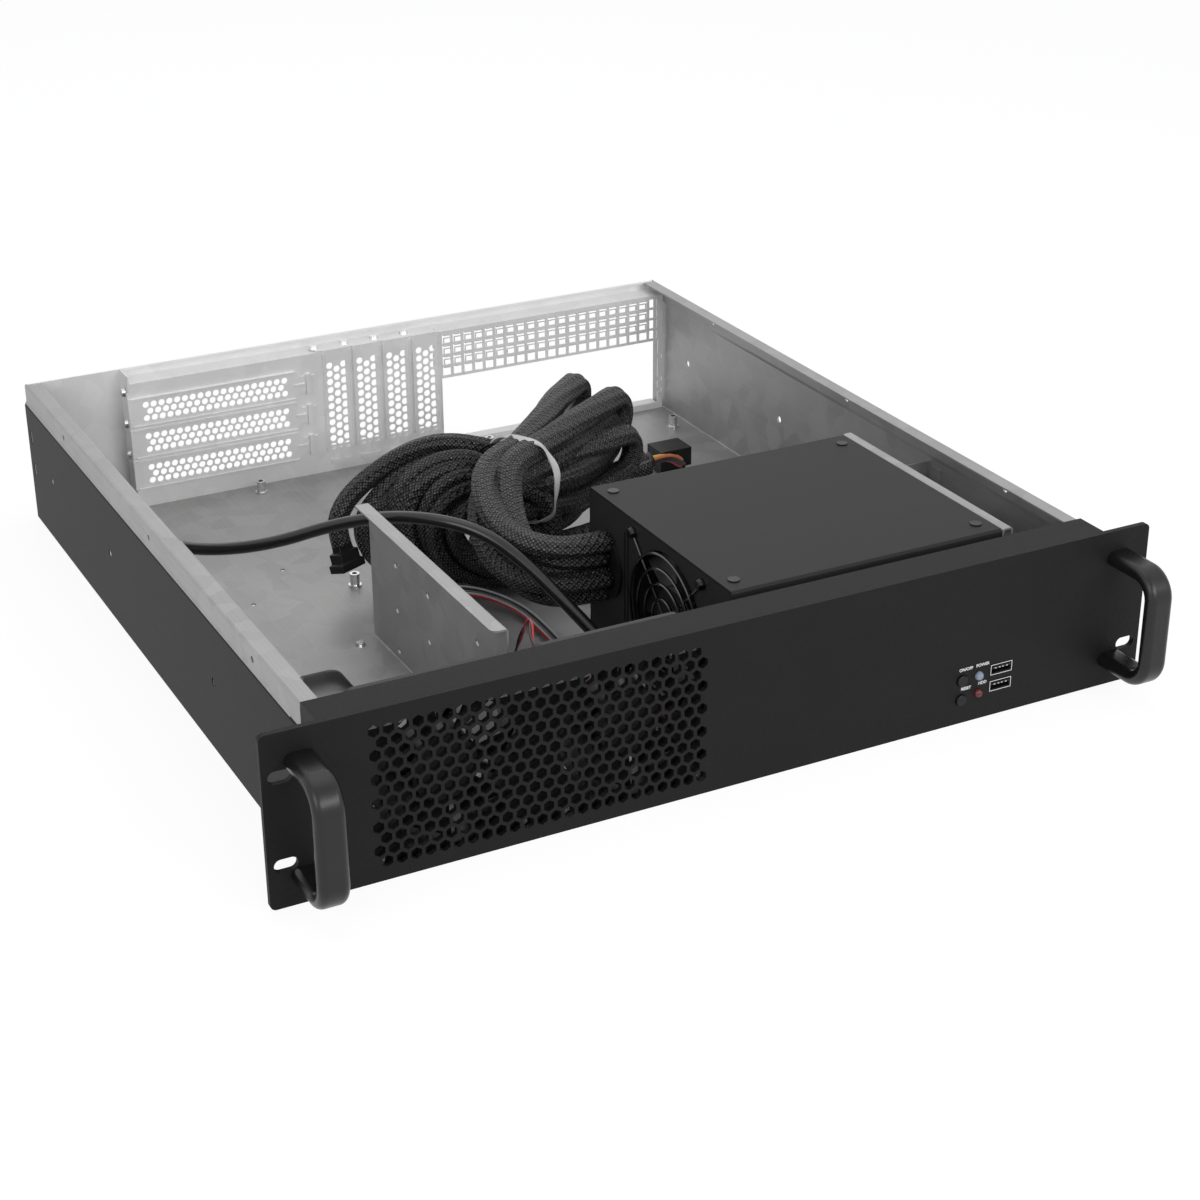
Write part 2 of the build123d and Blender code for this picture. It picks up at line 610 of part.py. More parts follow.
# Power supply: a base that is floor and two ends, and a cover that is roof and two sides
psu_x1 = PSU_X + PSU_W
psu_y0 = FRONT_Y + PSU_Y
psu_y1 = psu_y0 + PSU_L
psu_z1 = SHEET + PSU_H
psu_fan_y = FRONT_Y + PSU_FAN_Y
exit_y = FRONT_Y + PSU_EXIT_Y
psu_inlet_y = FRONT_Y + PSU_INLET_Y
inlet_plane = facing(psu_x1, psu_inlet_y, PSU_INLET_Z, (1, 0, 0), (0, 1, 0))
psu_fan_plane = facing(PSU_X + SHEET, psu_fan_y, FAN_Z, (1, 0, 0), (0, 1, 0))
lug = 8.0
cover_screw_xy = [
    (x, y) for x in (PSU_X + lug, psu_x1 - lug) for y in (psu_y0 + lug + 4, psu_y1 - lug - 4)
]
with BuildPart() as psu_base:
    slab(PSU_X, psu_x1, psu_y0 + SHEET + GAP, psu_y1 - SHEET - GAP, SHEET, 2 * SHEET)
    for end_x in (PSU_X, psu_x1 - SHEET):
        slab(end_x, end_x + SHEET, psu_y0 + SHEET + GAP, psu_y1 - SHEET - GAP, SHEET, psu_z1 - SHEET - GAP)
    # Lugs folded inward under the roof, one for each of its screws
    for x, y in cover_screw_xy:
        lug_x0, lug_x1 = (PSU_X, x + 5) if x < PSU_X + PSU_W / 2 else (x - 5, psu_x1)
        slab(lug_x0, lug_x1, y - 6, y + 6, psu_z1 - 2 * SHEET - GAP, psu_z1 - SHEET - GAP)
        with Locations((x, y, psu_z1 - 2 * SHEET)):
            Cylinder(SCREW_R, 4 * SHEET, mode=Mode.SUBTRACT)
    with BuildSketch(facing(PSU_X, 0, 0, (1, 0, 0), (0, 1, 0))):
        with Locations((psu_fan_y, FAN_Z)):
            Circle(FAN_BORE / 2 - 1)
            with GridLocations(FAN_HOLES, FAN_HOLES, 2, 2):
                Circle(SCREW_R)
        with Locations((exit_y, PSU_EXIT_Z)):
            Circle(PSU_EXIT_R)
        for slot_y in (exit_y - 20, exit_y - 23.5):
            with Locations((slot_y, FAN_Z + 6)):
                SlotOverall(52, 1.6, rotation=90)
    extrude(amount=SHEET, mode=Mode.SUBTRACT)
    with Locations(inlet_plane):
        Box(INLET_W + GAP, INLET_H + GAP, 4 * SHEET, mode=Mode.SUBTRACT)
    for sy in (-1, 1):
        with Locations(facing(psu_x1, psu_inlet_y + sy * inlet_screw, PSU_INLET_Z, (1, 0, 0), (0, 1, 0))):
            Cylinder(SCREW_R, 4 * SHEET, mode=Mode.SUBTRACT)
save(psu_base.part, "psu_base")
with BuildPart() as psu_cover:
    with BuildSketch(facing(PSU_X, 0, 0, (1, 0, 0), (0, 1, 0))):
        with BuildLine():
            FilletPolyline(
                (psu_y0 + SHEET / 2, SHEET + GAP),
                (psu_y0 + SHEET / 2, psu_z1 - SHEET / 2),
                (psu_y1 - SHEET / 2, psu_z1 - SHEET / 2),
                (psu_y1 - SHEET / 2, SHEET + GAP),
                radius=BEND_R,
            )
        trace(line_width=SHEET)
    extrude(amount=PSU_W)
    for x, y in cover_screw_xy:
        with Locations((x, y, psu_z1)):
            Cylinder(SCREW_R, 4 * SHEET, mode=Mode.SUBTRACT)
save(psu_cover.part, "psu_cover")
top_planes = [facing(x, y, psu_z1, (0, 0, 1), (1, 0, 0)) for x, y in cover_screw_xy]
with BuildPart() as psu_cover_screws:
    for plane in top_planes:
        with Locations(plane):
            Cylinder(SCREW_HEAD_R, 0.6, align=(Align.CENTER, Align.CENTER, Align.MIN))
            Cylinder(SCREW_R, 4, align=(Align.CENTER, Align.CENTER, Align.MAX))
save(psu_cover_screws.part, "psu_cover_screws")
psu_frame = fan_frame(FAN_SIZE, FAN_DEPTH, FAN_BORE, FAN_HOLES, FAN_FLANGE)
save(place(psu_frame, psu_fan_plane), "psu_fan_frame")
save(place(fan_rotor(FAN_DEPTH, FAN_BORE), psu_fan_plane), "psu_fan_rotor")

# Wire guard over the supply's fan: four rings on two crossed wires that end in eyes
wire_r = 0.8
with BuildPart() as psu_fan_guard:
    guard_x = PSU_X - wire_r
    ring_x = guard_x - 1.5 * wire_r
    for ring_r in (12, 20, 28, 36):
        with BuildLine(facing(ring_x, psu_fan_y, FAN_Z, (-1, 0, 0), (0, 1, 0))) as ring:
            CenterArc((0, 0), ring_r, 0, 360)
        with BuildSketch(facing(ring_x, psu_fan_y + ring_r, FAN_Z, (0, 0, 1), (1, 0, 0))):
            RegularPolygon(wire_r, 6)
        sweep(path=ring.line)
    for turn in (45, 135):
        a = math.radians(turn)
        across = Vector(0, math.cos(a), math.sin(a))
        reach = FAN_HOLES / math.sqrt(2) - SCREW_R - 0.6
        with BuildSketch(Plane(origin=(guard_x, psu_fan_y, FAN_Z), x_dir=(1, 0, 0), z_dir=across)):
            RegularPolygon(wire_r, 6)
        extrude(amount=reach, both=True)
    for sy in (-1, 1):
        for sz in (-1, 1):
            eye = facing(PSU_X, psu_fan_y + sy * FAN_HOLES / 2, FAN_Z + sz * FAN_HOLES / 2, (-1, 0, 0), (0, 1, 0))
            with Locations(eye):
                Cylinder(SCREW_R + 1.6, 1.6, align=(Align.CENTER, Align.CENTER, Align.MIN))
                Cylinder(SCREW_R, 4, mode=Mode.SUBTRACT)
save(psu_fan_guard.part, "psu_fan_guard")
guard_screw_planes = [
    facing(PSU_X - 1.6, psu_fan_y + sy * FAN_HOLES / 2, FAN_Z + sz * FAN_HOLES / 2, (-1, 0, 0), (0, 1, 0))
    for sy in (-1, 1)
    for sz in (-1, 1)
]
screws("psu_fan_screws", guard_screw_planes, 1.6 + SHEET + FAN_FLANGE)

# Circuit board of the supply with its heat sinks, transformer and capacitors
with BuildPart() as psu_board:
    circuit_x0 = PSU_X + SHEET + FAN_DEPTH + 4
    circuit_x1 = psu_x1 - INLET_D - 8
    circuit_y0, circuit_y1 = psu_y0 + 6, psu_y1 - 6
    slab(circuit_x0, circuit_x1, circuit_y0, circuit_y1, 8, 8 + BOARD_T)
    on_board = 8 + BOARD_T
    for y in (circuit_y0 + 30, circuit_y1 - 30):
        slab(circuit_x0 + 6, circuit_x1 - 6, y - 1.5, y + 1.5, on_board, 62)
        slab(circuit_x0 + 6, circuit_x1 - 6, y - 6, y + 6, 60, 62)
    mid_x, mid_y = (circuit_x0 + circuit_x1) / 2, (circuit_y0 + circuit_y1) / 2
    slab(mid_x - 18, mid_x + 18, mid_y - 17, mid_y + 17, on_board, on_board + 32)
    for x in (circuit_x0 + 16, circuit_x0 + 46):
        with Locations((x, circuit_y0 + 12, on_board)):
            Cylinder(10, 34, align=(Align.CENTER, Align.CENTER, Align.MIN))
    for x in (circuit_x0 + 5, circuit_x1 - 5):
        for y in (circuit_y0 + 5, circuit_y1 - 5):
            slab(x - 2.5, x + 2.5, y - 2.5, y + 2.5, 2 * SHEET, 8)
save(psu_board.part, "psu_board")


# Mains inlet with its flange on the panel, drawn along Z, and its three pins in the recess
def mains_inlet():
    with BuildPart() as inlet:
        with BuildSketch():
            RectangleRounded(2 * inlet_screw + 8, INLET_H + 4, 4)
            with Locations((-inlet_screw, 0), (inlet_screw, 0)):
                Circle(SCREW_R, mode=Mode.SUBTRACT)
        extrude(amount=INLET_FLANGE)
        with BuildSketch():
            Rectangle(INLET_W, INLET_H)
        extrude(amount=-INLET_D)
        with BuildSketch(Plane.XY.offset(INLET_FLANGE)):
            with BuildLine():
                half, low, high, cut = 12.2, -8.4, 8.4, 5.2
                Polyline((-half, low), (half, low), (half, high - cut), (half - cut, high),
                         (cut - half, high), (-half, high - cut), close=True)
            make_face()
        extrude(amount=-INLET_D * 0.8, mode=Mode.SUBTRACT)
        for pin_x, pin_z in ((-7, -2), (0, 2), (7, -2)):
            with Locations((pin_x, pin_z, -INLET_D + 1)):
                Box(2, 4, INLET_D - 2, align=(Align.CENTER, Align.CENTER, Align.MIN))
    return inlet.part


rear_inlet_plane = facing(REAR_INLET_X, REAR_Y, REAR_INLET_Z, (0, 1, 0), (-1, 0, 0))
save(place(mains_inlet(), rear_inlet_plane), "rear_inlet")
save(place(mains_inlet(), inlet_plane), "psu_inlet")
inlet_screw_planes = [
    facing(REAR_INLET_X + sx * inlet_screw, REAR_Y + INLET_FLANGE, REAR_INLET_Z, (0, 1, 0), (1, 0, 0))
    for sx in (-1, 1)
]
inlet_screw_planes += [
    facing(psu_x1 + INLET_FLANGE, psu_inlet_y + sy * inlet_screw, PSU_INLET_Z, (1, 0, 0), (0, 1, 0))
    for sy in (-1, 1)
]
screws("inlet_screws", inlet_screw_planes, 6)

# Bush round the supply's cables where they leave it
with BuildPart() as cable_bush:
    bush_plane = facing(PSU_X, exit_y, PSU_EXIT_Z, (1, 0, 0), (0, 1, 0))
    with Locations(bush_plane):
        Cylinder(PSU_EXIT_R + 2, 2, align=(Align.CENTER, Align.CENTER, Align.MAX))
        Cylinder(PSU_EXIT_R, SHEET + 2, align=(Align.CENTER, Align.CENTER, Align.MIN))
    with Locations(bush_plane.offset(-SHEET / 2)):
        Cylinder(TRUNK_R, 4, align=(Align.CENTER, Align.CENTER, Align.MAX), mode=Mode.SUBTRACT)
save(cable_bush.part, "cable_bush")

# Bracket that stands beside the supply and holds it by the inlet end
bracket_x0 = psu_x1 + GAP
with BuildPart() as psu_bracket:
    bracket_plane = facing(0, psu_y1, 0, (0, -1, 0), (1, 0, 0))
    with BuildSketch(bracket_plane):
        with BuildLine():
            FilletPolyline(
                (bracket_x0 + 12, 1.5 * SHEET),
                (bracket_x0 + SHEET / 2, 1.5 * SHEET),
                (bracket_x0 + SHEET / 2, psu_z1 - SHEET / 2),
                (bracket_x0 + BRACKET_RIM, psu_z1 - SHEET / 2),
                (bracket_x0 + BRACKET_RIM, psu_z1 - 4),
                radius=BEND_R,
            )
        trace(line_width=SHEET)
    extrude(amount=PSU_L)
    slab(bracket_x0, bracket_x0 + 12, psu_y0, psu_y0 + SHEET, 60, psu_z1 - 6)
    with Locations((bracket_x0 + 7, psu_y0, psu_z1 - 13)):
        Box(4, 4, 6, mode=Mode.SUBTRACT)
    # Opening for the inlet and its flange
    with Locations(inlet_plane):
        Box(2 * inlet_screw + 12, INLET_H + 8, 4 * SHEET + 2, mode=Mode.SUBTRACT)
    foot_y = (psu_y0 + 14, psu_y1 - 14)
    for y in foot_y:
        with Locations((bracket_x0 + 8, y, SHEET)):
            Cylinder(SCREW_R + 0.1, 4 * SHEET, mode=Mode.SUBTRACT)
save(psu_bracket.part, "psu_bracket")

# Brace from the bracket to the right wall
with BuildPart() as psu_brace:
    brace_y = psu_y1 - 26
    brace_x0, brace_x1 = bracket_x0 + SHEET, INNER_X
    slab(brace_x0, brace_x1, brace_y, brace_y + SHEET, 46, SKIN_H - 2)
    slab(brace_x1 - SHEET, brace_x1, brace_y - 12, brace_y + SHEET, 50, SKIN_H - 4)
    slab(brace_x0, brace_x0 + SHEET, brace_y - 12, brace_y + SHEET, 50, SKIN_H - 4)
    brace_pin = facing(brace_x1 - 12, brace_y, 66, (0, -1, 0), (1, 0, 0))
    with Locations(brace_pin):
        Cylinder(SCREW_R, 6 * SHEET, mode=Mode.SUBTRACT)
save(psu_brace.part, "psu_brace")
screws("brace_screw", [brace_pin], 5)

# Standoffs for a full-size board
right_column = (208.8 - 7.8, 428.0, 295.9, 223.5)
standoff_xy = [(right_column[0], y) for y in right_column[1:]]
for x in (76.5, -81.0):
    standoff_xy += [(x, y) for y in (450.8, 295.9, 223.5)]
with BuildPart() as motherboard_standoffs:
    for x, y in standoff_xy:
        with Locations((x, FRONT_Y + y, SHEET)):
            Cylinder(STANDOFF_R + 1, 1.2, align=(Align.CENTER, Align.CENTER, Align.MIN))
            Cylinder(STANDOFF_R, STANDOFF_H, align=(Align.CENTER, Align.CENTER, Align.MIN))
            Cylinder(SCREW_R, 2 * STANDOFF_H + 4, mode=Mode.SUBTRACT)
save(motherboard_standoffs.part, "motherboard_standoffs")

# Right-angled plug in the supply's inlet, its lead leaving downward
plug_face = psu_x1 + INLET_FLANGE + GAP
plug_depth = 22.0
plug_x = plug_face + plug_depth / 2
plug_low = PSU_INLET_Z - 10
with BuildPart() as ac_plug:
    with BuildSketch(facing(plug_face, psu_inlet_y, PSU_INLET_Z, (-1, 0, 0), (0, -1, 0))):
        with BuildLine():
            half, high, cut = 12.2 - GAP, 8.4 - GAP, 5.2
            Polyline((-half, -high), (half, -high), (half, high - cut), (half - cut, high),
                     (cut - half, high), (-half, high - cut), close=True)
        make_face()
        for pin_x, pin_z in ((-7, -2), (0, 2), (7, -2)):
            with Locations((pin_x, pin_z)):
                Rectangle(2 + 2 * GAP, 4 + 2 * GAP, mode=Mode.SUBTRACT)
    extrude(amount=INLET_D * 0.8 - 2 * GAP)
    slab(plug_face, plug_face + plug_depth, psu_inlet_y - 14, psu_inlet_y + 14, plug_low, PSU_INLET_Z + 10)
    outer = ac_plug.edges().filter_by(Axis.Z).group_by(Axis.X)[-1]
    fillet(outer, 6)
save(ac_plug.part, "ac_plug")


# A lead is a tube along straight runs that are joined by arcs as large as the runs allow
def corner_radii(points):
    runs = [b - a for a, b in zip(points, points[1:])]
    radii = []
    for before, after in zip(runs, runs[1:]):
        half_turn = math.radians(before.get_angle(after)) / 2
        radii.append(0.45 * min(before.length, after.length) / math.tan(half_turn))
    return radii


def lead(name, route, radius):
    points = [Vector(x, FRONT_Y + back, z) for x, back, z in route]
    radii = corner_radii(points)
    with BuildPart() as tube:
        with BuildLine() as path:
            FilletPolyline(*points, radius=radii)
        with BuildSketch(Plane(origin=points[0], z_dir=points[1] - points[0])):
            Circle(radius)
        sweep(path=path.wires()[0])
    length = path.wires()[0].length
    share = tube.part.volume / (math.pi * radius**2 * length)
    print(f"{name}: length {length:.0f}, volume share {share:.4f}, radii", [round(r, 1) for r in radii])
    return save(tube.part, name)


# The same route, moved sideways and up in its own turning frame
def beside(route, side, up):
    points = [Vector(*p) for p in route]
    runs = [(b - a).normalized() for a, b in zip(points, points[1:])]
    moved = []
    for i, point in enumerate(points):
        before = runs[max(i - 1, 0)]
        after = runs[min(i, len(runs) - 1)]
        ahead = (before + after).normalized()
        across = ahead.cross(Vector(0, 0, 1)).normalized()
        stretch = 1 / math.cos(math.radians(before.get_angle(after)) / 2)
        moved.append(tuple(point + across * side * stretch + across.cross(ahead) * up))
    return moved


mains_route = [
    (REAR_INLET_X, BODY_D - INLET_D, REAR_INLET_Z),
    (REAR_INLET_X, 430, REAR_INLET_Z),
    (-187, 386, 24),
    (-182, 338, 32),
    (-164, 300, 39),
    (-137.5, 272, 48.5),
    (-109.3, 250.6, 62.5),
    (-89.3, 224.6, 73.5),
    (-72.3, 197.6, 79),
    (-53.7, 178.8, 75.5),
    (-38, 163, 62),
    (-25, 146, 45),
    (-12, 130, 27),
    (-3, 113, 13),
    (0, 90, 6.5),
    (-1, 62, 5),
    (1, 36, 5),
    (13, 18, 5),
    (40, 14.5, 5),
    (92, 18, 5),
    (134, 17, 5),
    (166, 17, 5.5),
    (184, 24, 5.5),
    (192, 38, 6),
    (191, 54, 10),
    (187, 66, 20),
    (plug_x, PSU_INLET_Y, 32),
    (plug_x, PSU_INLET_Y, plug_low),
]
lead("ac_lead", mains_route, MAINS_R)

# Four sleeved cables from the supply to the hank
trunk_route = [
    (PSU_X - SHEET / 2, PSU_EXIT_Y, PSU_EXIT_Z),
    (PSU_X - 19, PSU_EXIT_Y, PSU_EXIT_Z),
    (-27, 173, 49),
    (-38, 194, 53),
    (-37, 218, 57),
    (-27, 238, 58),
    (-27, HANK_Y0 - 0.02, 58),
]
half_pitch = SLEEVE_PITCH / 2
corners = ((-half_pitch, half_pitch), (half_pitch, half_pitch), (-half_pitch, -half_pitch), (half_pitch, -half_pitch))
for i, (side, up) in enumerate(corners, start=1):
    lead(f"supply_cable_{i}", beside(trunk_route, side, up), SLEEVE_R)

# Left hank: the coil that arches from the tied neck over to the floor
with BuildPart() as left_hank:
    with BuildSketch(facing(0, FRONT_Y + HANK_Y1, 0, (0, -1, 0), (1, 0, 0))):
        with BuildLine():
            FilletPolyline(
                (HANK_X, 18),
                (HANK_X, 80),
                (-38, HANK_TOP + 2),
                (-74, 74),
                (-96, 52),
                (-90, 36),
                (-62, 36),
                (-54, SHEET + GAP),
                (-10, SHEET + GAP),
                radius=9,
                close=True,
            )
        make_face()
    extrude(amount=HANK_Y1 - HANK_Y0)
    ends = left_hank.faces().filter_by(Axis.Y)
    fillet(ends.edges(), 7)
save(left_hank.part, "left_hank")


# Loop of sleeved cable, flattened and seen from above, with rounded edges
def cable_loop(start, end, width, low, high):
    with BuildPart() as loop:
        with BuildSketch(Plane.XY.offset(low)):
            turn = math.degrees(math.atan2(end[1] - start[1], end[0] - start[0]))
            with Locations(((start[0] + end[0]) / 2, FRONT_Y + (start[1] + end[1]) / 2)):
                SlotCenterToCenter(math.dist(start, end), width, rotation=turn)
        extrude(amount=high - low)
        fillet(loop.faces().filter_by(Axis.Z).edges(), 0.4 * width)
    return loop.part


# Right hank: the neck under the tie, and three loops that lie one above the other
neck_x0 = HANK_X + GAP
neck_y = FRONT_Y + (HANK_Y0 + HANK_Y1) / 2 - 8
neck_z = 51.0
neck_size = (46.0, 62.0)
neck_plane = facing(neck_x0, neck_y, neck_z, (1, 0, 0), (0, 1, 0))
low_loop_end = (94, 290)
loops = (
    ((24, 278), (78, 335), 28, 54, 86),
    ((24, 274), (104, 316), 32, 36, 76),
    ((24, 272), low_loop_end, 30, 16, 50),
)
with BuildPart() as right_hank:
    with BuildSketch(neck_plane):
        RectangleRounded(*neck_size, 14)
    extrude(amount=NECK_W)
    for loop in loops:
        add(cable_loop(*loop))
save(right_hank.part, "right_hank")
with BuildPart() as cable_tie:
    with BuildSketch(neck_plane.offset(4)):
        RectangleRounded(*[size + 2 * (GAP + TIE_T) for size in neck_size], 14 + GAP + TIE_T)
        RectangleRounded(*[size + 2 * GAP for size in neck_size], 14 + GAP, mode=Mode.SUBTRACT)
    extrude(amount=TIE_W)
save(cable_tie.part, "cable_tie")

# Plug that hangs under the left hank
with BuildPart() as spare_plug:
    slab(-96, -83, FRONT_Y + 268, FRONT_Y + 288, 13, 36 - GAP)
    slab(-93, -86, FRONT_Y + 271, FRONT_Y + 285, 12, 22, Mode.SUBTRACT)
save(spare_plug.part, "spare_plug")

# Drive power plug and its lead from the lowest loop
tip_r = loops[2][2] / 2 + GAP
loop_tip = (low_loop_end[0] + tip_r * math.cos(0.25), low_loop_end[1] + tip_r * math.sin(0.25))
drive_plug_x, drive_plug_back, drive_plug_z = 162.0, 362.0, 12.0
lead(
    "drive_power_lead",
    [
        (*loop_tip, 32),
        (124, 298, 31),
        (138, 308, 25),
        (150, 322, 18),
        (159, 336, 13.5),
        (drive_plug_x, 345, drive_plug_z),
        (drive_plug_x, drive_plug_back - 8, drive_plug_z),
    ],
    DRIVE_LEAD_R,
)
with BuildPart() as drive_power_plug:
    plug_plane = facing(drive_plug_x, FRONT_Y + drive_plug_back - 8, drive_plug_z, (0, 1, 0), (1, 0, 0))
    with BuildSketch(plug_plane):
        Rectangle(22, 12)
    extrude(amount=18)
    with BuildSketch(plug_plane.offset(18)):
        Rectangle(18, 5)
    extrude(amount=-8, mode=Mode.SUBTRACT)
    slab(drive_plug_x - 9, drive_plug_x + 9, FRONT_Y + drive_plug_back - 4, FRONT_Y + drive_plug_back + 6,
         SHEET + GAP, drive_plug_z - 6)
save(drive_power_plug.part, "drive_power_plug")

# Leads of the controls, from their header to a small plug beside the drive cage
header_side = header_x - 4
lead(
    "panel_leads",
    [
        (header_side, 12.2, BUTTON_Z[1] + 2.5),
        (98, 12.2, BUTTON_Z[1] + 2.5),
        (60, 17, 21),
        (26, 20, 23),
        (4, 32, 21),
        (-9, 54, 15),
        (-15, 84, 10),
        (-17, 120, 7),
        (-16, 156, 5),
        (-13, 192, 4.5),
        (-14, 220, 5),
        (-27, 238, 9),
        (-48, 234, 17),
        (-66, 218, 21),
        (-79, 197, 17),
        (-87, 180, 8),
        (-88, 169, 5),
        (-88, 158, 5),
    ],
    PANEL_LEAD_R,
)
with BuildPart() as panel_plug:
    slab(-94, -82, FRONT_Y + 142, FRONT_Y + 158, SHEET + GAP, 9)
save(panel_plug.part, "panel_plug")

# Leads of the two case fans, each with a small plug
fan_back = (FAN_Y + FAN_DEPTH) - FRONT_Y
lead(
    "fan_1_lead",
    [
        (-114, fan_back, 22),
        (-114, 37, 22),
        (-110, 42, 17),
        (-102, 44.5, 10),
        (-94, 47, 6),
        (-87, 52, 4),
        (-86, 58, 4),
        (-86, 64, 4),
    ],
    FAN_LEAD_R,
)
lead(
    "fan_2_lead",
    [
        (-91, fan_back, 77),
        (-91, 42, 77),
        (-84, 56, 83),
        (-80, 69, 77),
        (-79, 80, 62),
        (-80, 89, 43),
        (-80, 95, 24),
        (-80, 102, 10),
        (-80, 111, 4),
        (-80, 120, 4),
    ],
    FAN_LEAD_R,
)
with BuildPart() as fan_plugs:
    for x, back in ((-86, 64), (-80, 120)):
        slab(x - 5, x + 5, FRONT_Y + back, FRONT_Y + back + 12, SHEET + GAP, 7)
save(fan_plugs.part, "fan_plugs")
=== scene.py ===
# Rackmount server case with its lid off: finishes, cables, perforated covers and small markings
import math

import bmesh
import bpy
import numpy as np
from mathutils import Matrix, Vector


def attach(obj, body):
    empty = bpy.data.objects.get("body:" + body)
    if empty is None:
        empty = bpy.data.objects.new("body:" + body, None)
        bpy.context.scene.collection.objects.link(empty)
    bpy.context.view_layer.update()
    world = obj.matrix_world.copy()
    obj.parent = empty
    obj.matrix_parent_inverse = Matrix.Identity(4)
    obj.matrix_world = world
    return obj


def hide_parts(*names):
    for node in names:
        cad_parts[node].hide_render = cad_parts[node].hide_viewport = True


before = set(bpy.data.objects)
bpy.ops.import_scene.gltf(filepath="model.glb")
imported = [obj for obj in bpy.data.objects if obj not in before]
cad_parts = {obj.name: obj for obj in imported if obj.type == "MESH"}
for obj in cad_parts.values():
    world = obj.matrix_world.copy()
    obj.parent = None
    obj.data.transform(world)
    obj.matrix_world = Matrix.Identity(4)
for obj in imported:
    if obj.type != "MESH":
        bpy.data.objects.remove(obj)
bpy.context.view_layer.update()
mm = 0.001
frontY = -221.75  # the front plate's face; routes give their second number back from it
fullTurn = 2 * math.pi
print("frame loaded")


# shader arithmetic
class Wire:
    # one output of a node, where each operator adds a Math node
    def __init__(self, graph, socket):
        self.graph = graph
        self.socket = socket

    def math(self, operation, *others, clamp=False):
        settings = {"operation": operation, "use_clamp": clamp}
        return self.graph.add("ShaderNodeMath", settings, dict(enumerate((self,) + others)))

    def other(self, name):
        return Wire(self.graph, self.socket.node.outputs[name])

    def __add__(self, value):
        return self.math("ADD", value)

    __radd__ = __add__

    def __mul__(self, value):
        return self.math("MULTIPLY", value)

    __rmul__ = __mul__

    def __sub__(self, value):
        return self.math("SUBTRACT", value)

    def __rsub__(self, value):
        return self.graph.add("ShaderNodeMath", {"operation": "SUBTRACT"}, {0: value, 1: self})

    def __gt__(self, value):
        return self.math("GREATER_THAN", value)

    def __lt__(self, value):
        return self.math("LESS_THAN", value)

    def clamped(self):
        return self.math("ADD", 0.0, clamp=True)


class Graph:
    # the node tree of a material or world, with one method that adds any node
    def __init__(self, owner, outputKind="ShaderNodeOutputMaterial"):
        owner.use_nodes = True
        self.owner = owner
        self.tree = owner.node_tree
        self.tree.nodes.clear()
        self.output = self.tree.nodes.new(outputKind)

    def add(self, kind, settings=None, values=None, out=0):
        node = self.tree.nodes.new(kind)
        for key, value in (settings or {}).items():
            setattr(node, key, value)
        for key, value in (values or {}).items():
            if isinstance(value, Wire):
                self.tree.links.new(value.socket, node.inputs[key])
            else:
                node.inputs[key].default_value = value
        return Wire(self, node.outputs[out])

    def place(self):
        return self.add("ShaderNodeTexCoord").other("Object")

    def axes(self, vector):
        parts = self.add("ShaderNodeSeparateXYZ", None, {0: vector})
        return parts, parts.other("Y"), parts.other("Z")

    def directRays(self):
        # one for rays from the camera and for glossy and transmitted ones, zero for all others
        rays = self.add("ShaderNodeLightPath")
        bounced = rays.math("MAXIMUM", rays.other("Is Glossy Ray"))
        return bounced.math("MAXIMUM", rays.other("Is Transmission Ray"))

    def noise(self, vector, scale, detail=2.0, roughness=0.5):
        values = {"Vector": vector, "Scale": scale, "Detail": detail, "Roughness": roughness}
        return self.add("ShaderNodeTexNoise", None, values)

    def mix(self, factor, first, second):
        values = {0: factor, 6: first, 7: second}
        return self.add("ShaderNodeMix", {"data_type": "RGBA"}, values, out=2)

    def stretch(self, vector, factors):
        return self.add("ShaderNodeVectorMath", {"operation": "MULTIPLY"}, {0: vector, 1: factors})

    def bump(self, height, strength, distance):
        values = {"Height": height, "Strength": strength, "Distance": distance}
        return self.add("ShaderNodeBump", None, values)

    def surface(self, shader):
        self.tree.links.new(shader.socket, self.output.inputs["Surface"])
        return self.owner

    def finish(self, **values):
        sockets = {key.replace("_", " "): value for key, value in values.items()}
        return self.surface(self.add("ShaderNodeBsdfPrincipled", None, sockets))


def finishGraph(name):
    return Graph(bpy.data.materials.new(name))


def grey(value, warmth=0.0):
    return (value * (1 + warmth), value, value * (1 - warmth), 1.0)


def shaded(colour, factor):
    return tuple(min(part * factor, 1.0) for part in colour[:3]) + (1.0,)


# finishes
zinc = {
    "dark": 0.27,
    "light": 0.50,
    "roughness": 0.46,
    "glossSpread": 0.10,
    "metal": 0.50,
    "shine": 0.11,
    "spangle": 75.0,
    "spangleDepth": 0.30,
    "streaks": (900.0, 6.0, 900.0),
    "streakDepth": 0.35,
    "cloud": 14.0,
    "cloudDepth": 0.45,
    "grain": 2600.0,
    "bump": 0.05,
    "bumpDepth": 0.0004,
}
# painted light: a lighter, less metallic copy of the zinc for the rear panel, its air-hole edges and the slot
# covers, its lighter tone standing in for the light they catch
zincPaintedLight = dict(zinc, dark=0.80, light=0.97, roughness=0.36, metal=0.12)
blackCoat = {
    "colour": 0.012,
    "roughness": 0.52,
    "pitGloss": 0.14,
    "cloudGloss": 0.06,
    "grain": 1500.0,
    "cloud": 22.0,
    "bump": 0.60,
    "bumpDepth": 0.0005,
    "shine": 0.13,
}
handleCoat = dict(blackCoat, colour=0.008, roughness=0.30, grain=2200.0, bump=0.10, shine=0.42)
supplyCoat = dict(blackCoat, colour=0.026, roughness=0.44, grain=2200.0, bump=0.12, shine=0.11)
# the tub is painted black outside of these planes, in millimetres; the front band is real paint on the front
# wall's outer face and painted shade on the tub's inside faces behind the front vent
paintAndShadeLimits = {"side": 214.6, "top": 75.4, "floor": 0.4, "front": 34.0}


